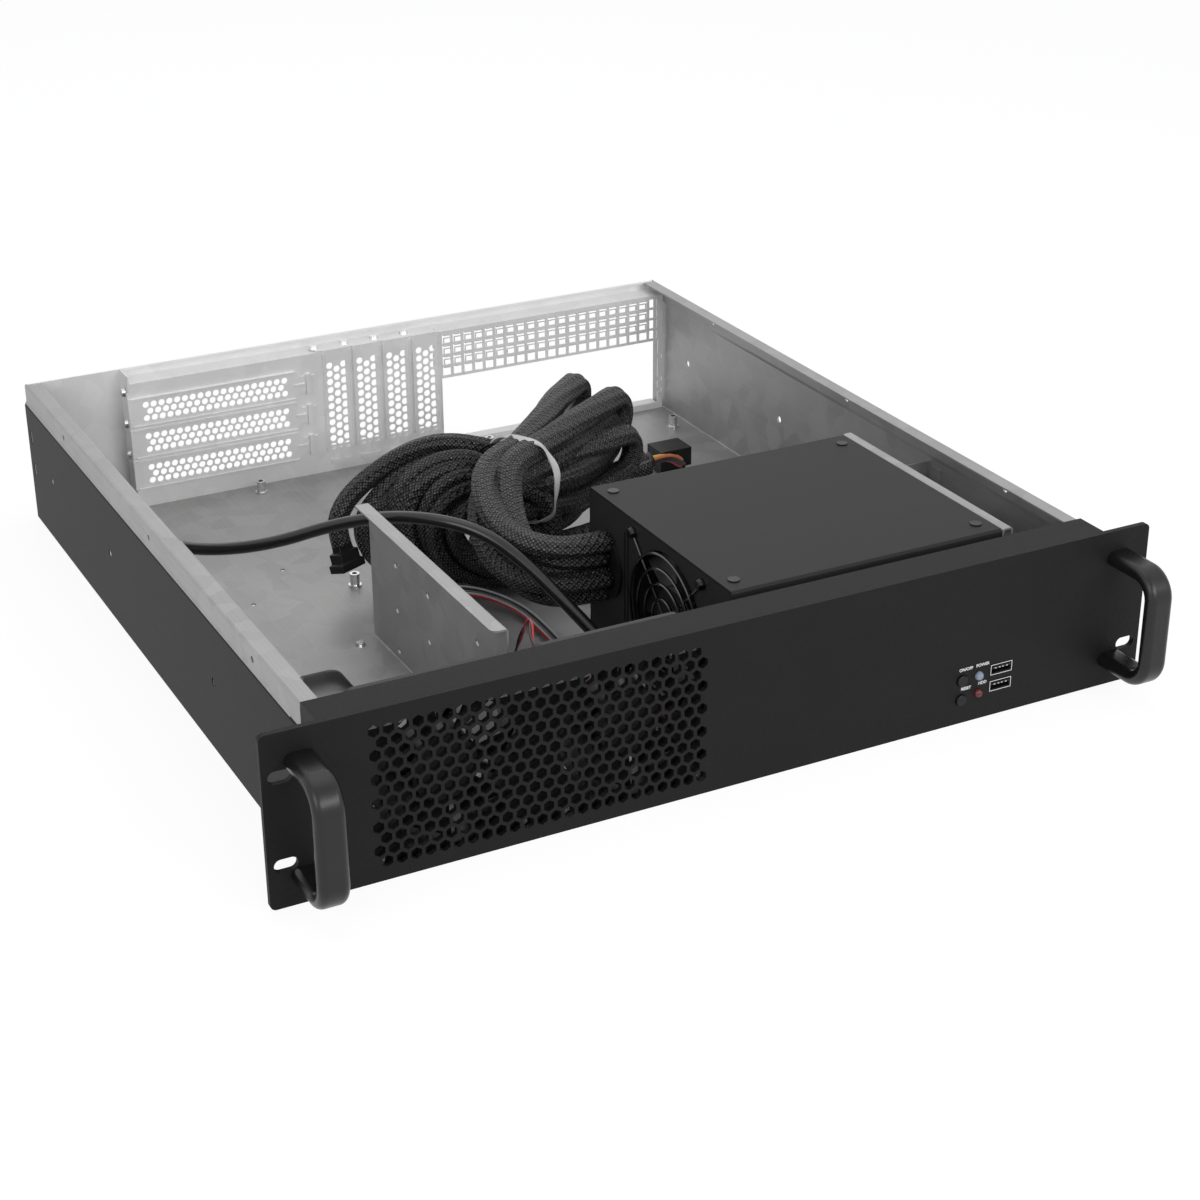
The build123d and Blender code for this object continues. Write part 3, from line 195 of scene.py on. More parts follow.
def zincSheet(name, settings, limits=None):
    # tone is spangle cells plus noise drawn out along the sheet plus soft clouds, each times its depth;
    # gloss follows cells and clouds; past the limits the tub's colour, metal and gloss turn to black coat,
    # which is real paint outside and painted shade on the inside faces of the front band
    g = finishGraph(name)
    place = g.place()
    spangle = g.add("ShaderNodeTexVoronoi", None, {"Vector": place, "Scale": settings["spangle"]}, out=1)
    cells = g.add("ShaderNodeSeparateColor", None, {0: spangle})
    streaks = g.noise(g.stretch(place, settings["streaks"]), 1.0, 3.0)
    cloud = g.noise(place, settings["cloud"], 4.0, 0.6)
    tone = cells * settings["spangleDepth"] + streaks * settings["streakDepth"]
    tone = (tone + cloud * settings["cloudDepth"]).clamped()
    colour = g.mix(tone, grey(settings["dark"]), grey(settings["light"], 0.01))
    spread = settings["glossSpread"]
    gloss = settings["roughness"] + cells * spread + cloud * spread - spread
    metal = settings["metal"]
    if limits:
        x, y, z = g.axes(place)
        below = z < limits["top"] * mm
        outer = (x.math("ABSOLUTE") > limits["side"] * mm) * below
        # painted shade: the front band also turns the tub's inside faces behind the vent black, besides the
        # real paint on the front wall's outer face
        front = (y < (frontY + limits["front"]) * mm) * below
        paintAndShade = outer.math("MAXIMUM", z < limits["floor"] * mm).math("MAXIMUM", front)
        pits = g.noise(place, blackCoat["grain"], 2.0, 0.6)
        pitGloss = blackCoat["pitGloss"]
        colour = g.mix(paintAndShade, colour, grey(blackCoat["colour"]))
        gloss = gloss * (1.0 - paintAndShade) + paintAndShade * (pits * pitGloss + (blackCoat["roughness"] - pitGloss / 2))
        metal = (1.0 - paintAndShade) * settings["metal"]
    grain = g.noise(place, settings["grain"], 1.0)
    normal = g.bump(grain + cells * 0.3, settings["bump"], settings["bumpDepth"])
    return g.finish(Base_Color=colour, Metallic=metal, Roughness=gloss, Normal=normal,
                    Specular_IOR_Level=settings["shine"])


def powderCoat(name, settings):
    # height is fine noise, the pits; gloss is the coat's own plus a share of the pits and of soft clouds
    g = finishGraph(name)
    place = g.place()
    pits = g.noise(place, settings["grain"], 2.0, 0.6)
    cloud = g.noise(place, settings["cloud"], 3.0)
    colour = g.mix(cloud, grey(settings["colour"] * 0.85), grey(settings["colour"] * 1.2, 0.02))
    pitGloss, cloudGloss = settings["pitGloss"], settings["cloudGloss"]
    gloss = settings["roughness"] + pits * pitGloss + cloud * cloudGloss - (pitGloss + cloudGloss) / 2
    normal = g.bump(pits, settings["bump"], settings["bumpDepth"])
    return g.finish(Base_Color=colour, Roughness=gloss, Normal=normal, Specular_IOR_Level=settings["shine"])


plastic = {"cloud": 60.0, "detail": 2.0, "darker": 0.85, "lighter": 1.15, "glossSpread": 0.10, "metal": 0.0,
           "shine": 0.28, "grain": 1800.0, "bump": 0.05, "bumpDepth": 0.0003}
bareMetal = {"cloud": 240.0, "detail": 2.0, "darker": 0.82, "lighter": 1.1, "glossSpread": 0.12, "metal": 1.0,
             "shine": 0.5}
cordSkin = {"cloud": 90.0, "detail": 3.0, "darker": 0.8, "lighter": 1.3, "glossSpread": 0.12, "metal": 0.0,
            "shine": 0.5}
wireSkin = {"cloud": 160.0, "detail": 2.0, "darker": 0.8, "lighter": 1.0, "glossSpread": 0.08, "metal": 0.0,
            "shine": 0.5, "roughness": 0.40}


def clouded(name, colour, roughness, settings):
    # colour runs from darker to lighter with soft clouds and gloss with them; a bump's height is fine noise
    g = finishGraph(name)
    place = g.place()
    cloud = g.noise(place, settings["cloud"], settings["detail"])
    tint = g.mix(cloud, shaded(colour, settings["darker"]), shaded(colour, settings["lighter"]))
    spread = settings["glossSpread"]
    sockets = {"Base_Color": tint, "Metallic": settings["metal"], "Specular_IOR_Level": settings["shine"],
               "Roughness": roughness + cloud * spread - spread / 2}
    if "bump" in settings:
        speckle = g.noise(place, settings["grain"], 1.0)
        sockets["Normal"] = g.bump(speckle, settings["bump"], settings["bumpDepth"])
    return g.finish(**sockets)


panelLamp = {
    "split": 19.9,
    "high": (0.36, 0.43, 0.56, 1.0),
    "low": (0.15, 0.008, 0.012, 1.0),
    "strength": 0.10,
}


def lampMaterial(name, settings):
    # two lenses told apart by their height; fine noise darkens the tint and roughens it
    g = finishGraph(name)
    place = g.place()
    height = g.axes(place)[2]
    tint = g.mix(height > settings["split"] * mm, settings["low"], settings["high"])
    haze = g.noise(place, 700.0, 1.0)
    tint = g.mix(haze * 0.7, tint, grey(0.02))
    return g.finish(Base_Color=tint, Roughness=haze * 0.2 + 0.08, Emission_Color=tint,
                    Emission_Strength=settings["strength"])


def socketShell(name, tone, rim):
    # pressed metal shell, bright as far in as its rim; beyond it the colour is painted shade, dark and
    # without metal
    g = finishGraph(name)
    place = g.place()
    # painted shade: deeper in than the rim the shell is coloured dark
    inner = g.axes(place)[1] > (frontY + rim) * mm
    cloud = g.noise(place, 500.0, 2.0)
    colour = g.mix(inner, g.mix(cloud, grey(tone * 0.8), grey(tone)), grey(0.012))
    return g.finish(Base_Color=colour, Metallic=(1.0 - inner) * 0.6, Roughness=cloud * 0.15 + 0.2)


board = {
    "cells": 260.0,
    "lineWidth": 0.06,
    "ground": (0.006, 0.035, 0.016, 1.0),
    "line": (0.02, 0.10, 0.045, 1.0),
}


def circuitBoard(name, settings):
    # tracks run where the distance to the edge of a cell is less than the line's width
    g = finishGraph(name)
    values = {"Vector": g.place(), "Scale": settings["cells"]}
    line = g.add("ShaderNodeTexVoronoi", {"feature": "DISTANCE_TO_EDGE"}, values) < settings["lineWidth"]
    return g.finish(Base_Color=g.mix(line, settings["ground"], settings["line"]), Roughness=0.38 - line * 0.1)


sleeve = {
    "pitch": 220.0,
    "threads": 8.0,
    "thread": 0.008,
    "gapShade": 0.002,
    "glint": 0.32,
    "glintEdge": 0.60,
    "glintCut": 0.50,
    "glintDepth": 0.9,
    "glintHeight": 0.4,
    "bump": 0.8,
    "bumpDepth": 0.0008,
    "shine": 0.3,
}


def braid(name, settings):
    # two sine waves run crosswise over the piece's own length and girth, and their greater one is the
    # threads' height, darker in the gaps as painted shade; painted glints lie where both are strong and a
    # noise is above its cut
    g = finishGraph(name)
    around = g.add("ShaderNodeUVMap", {"uv_map": "alongAround"})
    along, turn = g.axes(around)[:2]
    along, turn = along * settings["pitch"], turn * settings["threads"]
    first = ((along + turn) * fullTurn).math("SINE")
    second = ((along - turn) * fullTurn).math("SINE")
    crossing = (first * second).math("ABSOLUTE")
    weave = first.math("MAXIMUM", second) * 0.5 + 0.5
    shine = g.noise(around, 420.0, 2.0)
    glint = (crossing > settings["glintEdge"]) * (shine > settings["glintCut"])
    # painted shade: the gaps between threads are darker; painted highlight: the glints are light grey
    colour = g.mix(weave, grey(settings["gapShade"]), grey(settings["thread"]))
    colour = g.mix(glint * settings["glintDepth"], colour, grey(settings["glint"], 0.02))
    normal = g.bump(weave + glint * settings["glintHeight"], settings["bump"], settings["bumpDepth"])
    return g.finish(Base_Color=colour, Roughness=0.46 - glint * 0.16, Normal=normal,
                    Specular_IOR_Level=settings["shine"])


finishes = {
    "zinc": zincSheet("zinc", zinc),
    "tubZinc": zincSheet("tubZinc", zinc, paintAndShadeLimits),
    "zincPaintedLight": zincSheet("zincPaintedLight", zincPaintedLight),
    "coat": powderCoat("coat", blackCoat),
    "handleCoat": powderCoat("handleCoat", handleCoat),
    "supplyCoat": powderCoat("supplyCoat", supplyCoat),
    "fanPlastic": clouded("fanPlastic", grey(0.012), 0.38, plastic),
    "moulding": clouded("moulding", grey(0.010), 0.40, plastic),
    "button": clouded("button", grey(0.008), 0.30, dict(plastic, bump=0.02)),
    "ink": clouded("ink", grey(0.80), 0.55, dict(plastic, bump=0.0)),
    "screw": clouded("screw", grey(0.72), 0.26, bareMetal),
    "darkScrew": clouded("darkScrew", grey(0.035), 0.28, bareMetal),
    "darkWire": clouded("darkWire", grey(0.11), 0.18, bareMetal),
    "socketRim": clouded("socketRim", grey(0.85), 0.22, bareMetal),
    "socketShadedMetal": socketShell("socketShadedMetal", 0.80, 0.35),
    "board": circuitBoard("board", board),
    "panelLamp": lampMaterial("panelLamp", panelLamp),
    "braid": braid("braid", sleeve),
    "mains": clouded("mains", grey(0.010), 0.24, cordSkin),
    "shrink": clouded("shrink", grey(0.010), 0.42, cordSkin),
}
wireColours = {
    "redWire": (0.55, 0.03, 0.04),
    "yellowWire": (0.78, 0.62, 0.03),
    "orangeWire": (0.70, 0.20, 0.08),
    "whiteWire": (0.75, 0.75, 0.76),
    "greyWire": (0.22, 0.22, 0.24),
    "blackWire": (0.015, 0.015, 0.017),
    "clearTie": (0.72, 0.72, 0.72),
}
for finishName, colour in wireColours.items():
    finishes[finishName] = clouded(finishName, colour, wireSkin["roughness"], wireSkin)
fullCovers = ["full_height_cover_%d" % number for number in (1, 2, 3)]
lowCovers = ["low_profile_cover_%d" % number for number in (1, 2, 3, 4)]
nodeFinish = {
    "tubZinc": ["chassis_tub"],
    "zinc": ["drive_cage", "psu_bracket", "psu_brace"],
    "zincPaintedLight": ["rear_panel"] + fullCovers + lowCovers,
    "coat": ["front_panel"],
    "handleCoat": ["handle_left", "handle_right"],
    "supplyCoat": ["psu_base", "psu_cover"],
    "fanPlastic": ["fan_1_frame", "fan_1_rotor", "fan_2_frame", "fan_2_rotor", "psu_fan_frame",
                   "psu_fan_rotor"],
    "moulding": ["psu_inlet", "rear_inlet", "cable_bush", "ac_plug", "spare_plug", "drive_power_plug",
                 "panel_plug", "fan_plugs"],
    "button": ["power_button", "reset_button"],
    "screw": ["handle_screws", "cover_screws", "cage_screws", "fan_screws", "brace_screw",
              "motherboard_standoffs"],
    "darkScrew": ["psu_cover_screws", "psu_fan_screws", "inlet_screws"],
    "darkWire": ["psu_fan_guard"],
    "socketShadedMetal": ["usb_ports"],
    "board": ["control_board", "psu_board"],
    "panelLamp": ["panel_leds"],
}
for finishName, nodeNames in nodeFinish.items():
    for nodeName in nodeNames:
        for pieceSlot in bpy.data.objects[nodeName].material_slots:
            pieceSlot.material = finishes[finishName]
print("finishes set on the solid pieces")


# camera, light and floor
def pointCamera(settings):
    # the camera solved from the photograph's corners: its place, its axes and its focal length
    camera = bpy.data.cameras.new("photoCamera")
    camera.sensor_width = 36.0
    camera.lens = settings["focal"]
    camera.clip_end = 20.0
    holder = bpy.data.objects.new("photoCamera", camera)
    bpy.context.scene.collection.objects.link(holder)
    right, down, ahead = (Vector(settings[key]) for key in ("right", "down", "ahead"))
    turn = Matrix((right, -down, -ahead)).transposed()
    holder.matrix_world = Matrix.Translation(Vector(settings["place"]) * mm) @ turn.to_4x4()
    bpy.context.scene.camera = holder


photoView = {
    "place": (-511.4, -840.0 + frontY, 568.9),
    "ahead": (0.4148, 0.8009, -0.4319),
    "right": (0.8869, -0.4619, -0.0047),
    "down": (-0.2033, -0.3811, -0.9019),
    "focal": 69.81,
}
pointCamera(photoView)


def softLamp(name, place, aim, size, power):
    # a rectangle of light at its place, turned to its aim
    lamp = bpy.data.lights.new(name, "AREA")
    lamp.shape = "RECTANGLE"
    lamp.size, lamp.size_y = size
    lamp.energy = power
    holder = bpy.data.objects.new(name, lamp)
    bpy.context.scene.collection.objects.link(holder)
    direction = Vector(aim) - Vector(place)
    turn = direction.to_track_quat("-Z", "Y").to_matrix().to_4x4()
    holder.matrix_world = Matrix.Translation(Vector(place)) @ turn


# name, place and aim in metres, size in metres, power in watts
lamps = [
    ("overhead", (0.0, 0.25, 1.6), (0.0, 0.0, 0.0), (1.6, 1.2), 4.0),
    ("leftFront", (-1.5, -1.1, 0.9), (0.0, 0.0, 0.05), (0.9, 0.9), 7.0),
    ("rightFront", (0.9, -1.6, 1.1), (0.0, 0.1, 0.05), (0.8, 0.8), 5.0),
    ("highFront", (0.3, -1.8, 0.85), (0.0, 0.25, 0.06), (1.2, 0.5), 9.0),
    ("behind", (0.3, 1.5, 1.0), (0.0, 0.1, 0.05), (1.4, 0.6), 1.5),
]
for lampSettings in lamps:
    softLamp(*lampSettings)


studio = {"tint": (0.95, 0.97, 1.0, 1.0), "strength": 0.38, "white": (1.0, 1.0, 1.0, 1.0)}


def paleWorld(settings):
    # direct rays see plain white, all others the tinted light
    world = bpy.data.worlds.new("studio")
    bpy.context.scene.world = world
    g = Graph(world, "ShaderNodeOutputWorld")
    lit = g.add("ShaderNodeBackground", None, {"Color": settings["tint"], "Strength": settings["strength"]})
    plain = g.add("ShaderNodeBackground", None, {"Color": settings["white"], "Strength": 1.0})
    g.surface(g.add("ShaderNodeMixShader", None, {0: g.directRays(), 1: lit, 2: plain}))


paleWorld(studio)
floor = {"half": 6.0, "tone": 0.86, "share": 0.80, "white": 1.12}


def paleFloor(settings):
    # a flat cloth that direct rays see as mostly plain white, so that only soft shadows show
    mesh = bpy.data.meshes.new("floor")
    half = settings["half"]
    corners = [(-half, -half, 0), (half, -half, 0), (half, half, 0), (-half, half, 0)]
    mesh.from_pydata(corners, [], [(0, 1, 2, 3)])
    piece = bpy.data.objects.new("floor", mesh)
    bpy.context.scene.collection.objects.link(piece)
    g = finishGraph("floor")
    white = g.add("ShaderNodeEmission", None, {"Color": studio["white"], "Strength": settings["white"]})
    tone = g.mix(g.noise(g.place(), 3.0, 2.0), grey(settings["tone"]), grey(settings["tone"] + 0.02))
    cloth = g.add("ShaderNodeBsdfDiffuse", None, {"Color": tone})
    share = g.directRays() * settings["share"]
    mesh.materials.append(g.surface(g.add("ShaderNodeMixShader", None, {0: share, 1: cloth, 2: white})))


paleFloor(floor)
bpy.context.scene.view_settings.view_transform = "Standard"
print("camera, light and floor set")


# cables
def makePiece(name, vertices, faces, looks, smooth=True, uv=None, indices=None):
    # a piece with the finishes it names; indices tell each face's finish
    mesh = bpy.data.meshes.new(name)
    mesh.from_pydata(np.asarray(vertices).tolist(), [], faces)
    for look in looks:
        mesh.materials.append(finishes[look])
    if indices is not None:
        mesh.polygons.foreach_set("material_index", indices)
    mesh.polygons.foreach_set("use_smooth", [smooth] * len(mesh.polygons))
    if uv is not None:
        layer = mesh.uv_layers.new(name="alongAround")
        corner = np.empty(len(mesh.loops), dtype=np.int32)
        mesh.loops.foreach_get("vertex_index", corner)
        layer.data.foreach_set("uv", uv[corner].ravel())
    mesh.update()
    piece = bpy.data.objects.new(name, mesh)
    bpy.context.scene.collection.objects.link(piece)
    return piece


def smoothLine(route, perRun=10):
    # the points along a quadratic NURBS spline whose control points are the route's
    curve = bpy.data.curves.new("guide", "CURVE")
    curve.dimensions = "3D"
    spline = curve.splines.new("NURBS")
    spline.points.add(len(route) - 1)
    for point, (x, back, z) in zip(spline.points, route):
        point.co = (x * mm, (back + frontY) * mm, z * mm, 1.0)
    spline.order_u = 3
    spline.use_endpoint_u = True
    spline.resolution_u = perRun
    guide = bpy.data.objects.new("guide", curve)
    bpy.context.scene.collection.objects.link(guide)
    mesh = bpy.data.meshes.new_from_object(guide)
    points = np.empty(len(mesh.vertices) * 3)
    mesh.vertices.foreach_get("co", points)
    bpy.data.objects.remove(guide)
    bpy.data.curves.remove(curve)
    bpy.data.meshes.remove(mesh)
    return points.reshape(-1, 3)


def turningFrame(points):
    # directions along the line, and two across it that turn as little as they can
    ahead = np.gradient(points, axis=0)
    ahead /= np.linalg.norm(ahead, axis=1)[:, None]
    side = np.zeros_like(points)
    start = np.cross(ahead[0], (0.0, 0.0, 1.0))
    if np.linalg.norm(start) < 0.1:
        start = np.cross(ahead[0], (1.0, 0.0, 0.0))
    side[0] = start / np.linalg.norm(start)
    for i in range(1, len(points)):
        swept = side[i - 1] - ahead[i] * np.dot(side[i - 1], ahead[i])
        side[i] = swept / np.linalg.norm(swept)
    return ahead, side, np.cross(side, ahead)


def distanceAlong(points):
    step = np.linalg.norm(np.diff(points, axis=0), axis=1)
    return np.concatenate(([0.0], np.cumsum(step)))


def tubeQuads(rows, columns):
    # the four-sided faces of a tube whose rings of vertices follow each other
    i, j = np.meshgrid(np.arange(rows - 1), np.arange(columns), indexing="ij")
    k = (j + 1) % columns
    faces = np.stack((i * columns + j, (i + 1) * columns + j, (i + 1) * columns + k, i * columns + k), -1)
    return faces.reshape(-1, 4)


def tubeAlong(name, points, radius, finish, sides=16, ridges=0, depth=0.0, twist=0.0, oval=(1.0, 1.0)):
    # an oval carried along the line and capped at both ends; its reach is the radius times one plus the depth
    # times the cosine of the ridges' angle, which turns with the twist times the length
    ahead, side, up = turningFrame(points)
    length = distanceAlong(points)
    angle = np.linspace(0, fullTurn, sides, endpoint=False)
    reach = radius * (1 + depth * np.cos(ridges * (angle[None, :] + twist * length[:, None])))
    ring = (points[:, None, :] + side[:, None, :] * (reach * oval[0] * np.cos(angle))[:, :, None]
            + up[:, None, :] * (reach * oval[1] * np.sin(angle))[:, :, None])
    rows = len(points)
    vertices = np.vstack((ring.reshape(-1, 3), points[0], points[-1]))
    faces = tubeQuads(rows, sides).tolist()
    uv = np.stack((np.repeat(length, sides), np.tile(angle / fullTurn, rows)), -1)
    uv = np.vstack((uv, (0, 0), (length[-1], 0)))
    first, last = rows * sides, rows * sides + 1
    base = (rows - 1) * sides
    for a in range(sides):
        b = (a + 1) % sides
        faces.append((first, a, b))
        faces.append((last, base + b, base + a))
    return makePiece(name, vertices, faces, [finish], uv=uv), float(length[-1])


# every route is a list of control points in millimetres: across, back from the front plate, up
mainsLead = {
    "radius": 3.5,
    "route": [
        (-185, 460, 20), (-185, 430, 20), (-187, 386, 24), (-182, 338, 32), (-164, 300, 39),
        (-137.5, 272, 48.5), (-109.3, 250.6, 62.5), (-89.3, 224.6, 73.5), (-72.3, 197.6, 79),
        (-53.7, 178.8, 75.5), (-38, 163, 62), (-25, 146, 45), (-12, 130, 27), (-3, 113, 13), (0, 90, 6.5),
        (-1, 62, 5), (1, 36, 5), (13, 18, 5), (40, 14.5, 5), (92, 18, 5), (134, 17, 5), (166, 17, 5.5),
        (184, 24, 5.5), (192, 38, 6), (191, 54, 10), (187, 66, 20), (185.3, 70, 32), (185.3, 70, 42),
    ],
}


def layLead(name, route, radius, finish, replaced, farEnd, extras, slotName, **shape):
    # one thick cord as a tube along the smoothed route
    points = smoothLine(route)
    piece, length = tubeAlong(name, points, radius * mm, finish, **shape)
    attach(piece, "case")
    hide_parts(*replaced)
    print(name, "laid,", round(length * 1000), "mm")


layLead("mainsLead", mainsLead["route"], mainsLead["radius"], "mains", ["ac_lead"], "plug", ["ac_plug"],
        "mains_sheath")


# four sleeved cables: out of the supply, curled into the tie, out in loops on the right and back as arches
# on the left
sleeved = {
    "radius": 5.5,
    "shape": {"sides": 42, "ridges": 7, "depth": 0.06, "twist": 14.0, "oval": (1.40, 0.98)},
    "routes": {
        "sleevedCable1": [
            (11, 159, 64), (-8, 159, 64), (-26, 168, 65), (-36, 187, 68), (-35, 209, 73), (-28, 231, 78),
            (-13, 251, 81), (8, 263, 81), (36, 290, 82), (60, 318, 82), (73, 332, 80), (82.9, 341.9, 79.3),
            (88.2, 347.3, 79), (92.1, 351.1, 73.9), (92.1, 351.1, 66.5), (88.2, 347.3, 61.4),
            (82.9, 340.6, 61.2), (70, 324, 61.5), (50, 299, 63), (26, 276, 63), (8, 275, 62),
            (-6, 279, 66), (-18, 283, 71), (-32, 285, 73), (-50, 285, 70), (-66, 285, 61), (-78, 284, 48),
            (-79, 284, 33), (-70, 284, 19), (-54, 286, 11), (-28, 288, 10), (-4, 288, 10.5), (20, 289, 13),
            (42, 293, 15), (57, 298, 18), (66, 301.5, 27), (66, 302, 38), (56, 300, 47), (38, 293, 53),
            (20, 286, 60), (8, 281, 72), (-8, 285, 77), (-22, 290, 80), (-38, 292, 80), (-58, 291, 75),
            (-73, 291, 67), (-84, 290.5, 59), (-91, 289, 50), (-93, 287, 41), (-92, 285, 34),
        ],
        "sleevedCable2": [
            (11, 164, 54), (-6, 164, 54), (-20, 173, 56), (-25, 190, 60), (-22, 208, 67), (-16, 226, 75),
            (-6, 242, 80.5), (8, 252, 81), (34, 270, 80), (62, 290, 79.5), (82, 304, 79), (94.6, 314.2, 77.6),
            (101.1, 318.8, 77), (106.8, 322.9, 70), (106.8, 322.9, 60.5), (101.1, 318.8, 53.5),
            (94.6, 313, 52.8), (78, 295, 52.5), (50, 270, 55), (24, 258, 57), (8, 257, 57), (-4, 262, 66),
            (-14, 272, 74), (-26, 274, 77), (-42, 274, 76), (-56, 273, 69), (-63, 273, 57), (-61, 273, 42),
            (-54, 272, 27), (-43, 271, 15), (-28, 271, 11), (-14, 273, 15), (-7, 276, 26), (-6, 278, 40),
            (-12, 279, 54), (-24, 279, 63), (-38, 279, 67), (-54, 279, 64), (-67, 279, 54), (-71, 279, 40),
            (-65, 279, 26), (-54, 280, 15), (-36, 281, 10.5), (-14, 280, 10.5), (10, 276, 10.5),
            (34, 268, 13), (54, 262, 17), (68, 260, 20),
        ],
        "sleevedCable3": [
            (11, 159, 43.5), (-9, 159, 43.5), (-27, 167, 44), (-38, 186, 46), (-38, 208, 52), (-31, 231, 62),
            (-15, 252, 69.5), (8, 263, 70), (34, 272, 65), (60, 284, 63), (77, 290.5, 62), (91.4, 297, 61),
            (97.9, 300.3, 60), (103.4, 303.5, 53.6), (103.4, 303.5, 44.4), (97.9, 300.3, 38), (91, 296, 36.5),
            (70, 284, 35), (46, 272, 36), (22, 262, 41), (8, 256, 44),
            (-6, 253, 48), (-19, 254, 56), (-31, 253, 55.5), (-39, 252, 45), (-34, 251, 31), (-22, 250, 19),
            (-2, 248, 14), (16, 250, 20), (24, 254, 34), (20, 257, 50), (4, 258, 60), (-16, 258, 65),
            (-34, 258, 64), (-46, 258, 54), (-48, 257, 38), (-40, 255, 23), (-26, 253, 13), (-6, 248, 10.5),
            (16, 240, 10), (40, 236, 10.5), (64, 234, 12),
        ],
        "sleevedCable4": [
            (11, 164, 33.5), (-7, 164, 33.5), (-22, 172, 34), (-30, 189, 38), (-29, 208, 46), (-22, 228, 57),
            (-8, 244, 68), (8, 252, 70), (36, 270, 69), (60, 288, 68), (73, 299.5, 67), (87.4, 311.1, 66.5),
            (93.8, 315.9, 66), (99.2, 319.9, 59.3), (99.2, 319.9, 49.7), (93.8, 315.9, 43), (87.4, 310, 42),
            (70, 296, 42), (50, 280, 44), (28, 268, 48), (8, 266, 51),
            (-6, 263, 57), (-16, 262, 65), (-28, 262, 70.5), (-42, 262, 66), (-50, 262, 52), (-48, 262, 36),
            (-39, 262, 22), (-24, 262, 15), (-6, 264, 19), (6, 266, 31), (6, 267, 47), (-4, 268, 62),
            (-20, 268, 72), (-38, 268, 73), (-54, 268, 65), (-59, 268, 50), (-56, 267, 34), (-46, 266, 19),
            (-28, 265, 11), (-6, 266, 12), (14, 270, 20), (34, 278, 24), (54, 290, 26), (74, 299, 29.5),
            (92, 304, 32.5), (114, 305, 36.7),
        ],
    },
}


# distance along a connector in millimetres and the share of its full width and height there
connectorSteps = [(-0.8, 0.55), (4, 0.60), (4.5, 0.82), (10, 0.82), (10.5, 1.0)]
square = ((-1, -1), (1, -1), (1, 1), (-1, 1))


def connector(name, points, size):
    # a box that widens by its steps, its long way on from the cable's end
    tip = np.array(points[-1])
    ahead = (tip - points[-2]) / np.linalg.norm(tip - points[-2])
    side = np.cross(ahead, (0.0, 0.0, 1.0))
    side /= np.linalg.norm(side)
    up = np.cross(side, ahead)
    length, width, height = size
    rings = []
    for along, share in connectorSteps + [(length, 1.0)]:
        for across, rise in square:
            offset = ahead * along + (side * across * width + up * rise * height) / 2 * share
            rings.append(tip + offset * mm)
    last = len(rings) - 4
    faces = [(0, 1, 2, 3)] + tubeQuads(len(rings) // 4, 4).tolist() + [(last + 3, last + 2, last + 1, last)]
    piece = makePiece(name, rings, faces, ["moulding"], smooth=False)
    bevel = piece.modifiers.new("edges", "BEVEL")
    bevel.width = 0.5 * mm
    bevel.segments = 2
    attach(piece, "case")
    return piece


def heatShrink(points, settings):
    # the shrunk tube over a sleeve's end, from some way back to a little past it
    ahead = (points[-1] - points[-2]) / np.linalg.norm(points[-1] - points[-2])
    line = np.array([points[-1] + ahead * step * mm for step in settings["steps"]])
    piece = tubeAlong("heatShrink", line, settings["radius"] * mm, "shrink", sides=24)[0]
    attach(piece, "case")
    return piece


connectorSizes = {"sleevedCable1": (15, 18, 11), "sleevedCable2": (22, 20, 10), "sleevedCable3": (20, 16, 9)}
shrink = {"radius": 5.3, "steps": (-22, -16, -8, 0, 3)}
for number, (cableName, route) in enumerate(sleeved["routes"].items(), start=1):
    line = smoothLine(route)
    if cableName in connectorSizes:
        kind, endPiece = "connector", connector(cableName + "Connector", line, connectorSizes[cableName])
    else:
        kind, endPiece = "fitting", heatShrink(line, shrink)
    if number == 1:
        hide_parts("spare_plug")
    replaced = ["supply_cable_%d" % number, "left_hank", "right_hank"]
    layLead(cableName, route, sleeved["radius"], "braid", replaced, kind, [endPiece], "braided_sleeve",
            **sleeved["shape"])


# twisted tie round the neck of the bundle
tie = {
    "middle": (10, 262, 61.5),
    "level": (-0.5, 0.866, 0.0),
    "half": (24.0, 25.0),
    "power": 2.6,
    "width": 4.0,
    "thick": 0.8,
    "tilt": 0.5,
    "turns": 5,
    "wobble": ((0.7, 7, 0), (0.5, 3, 1)),
    "rows": 260,
}


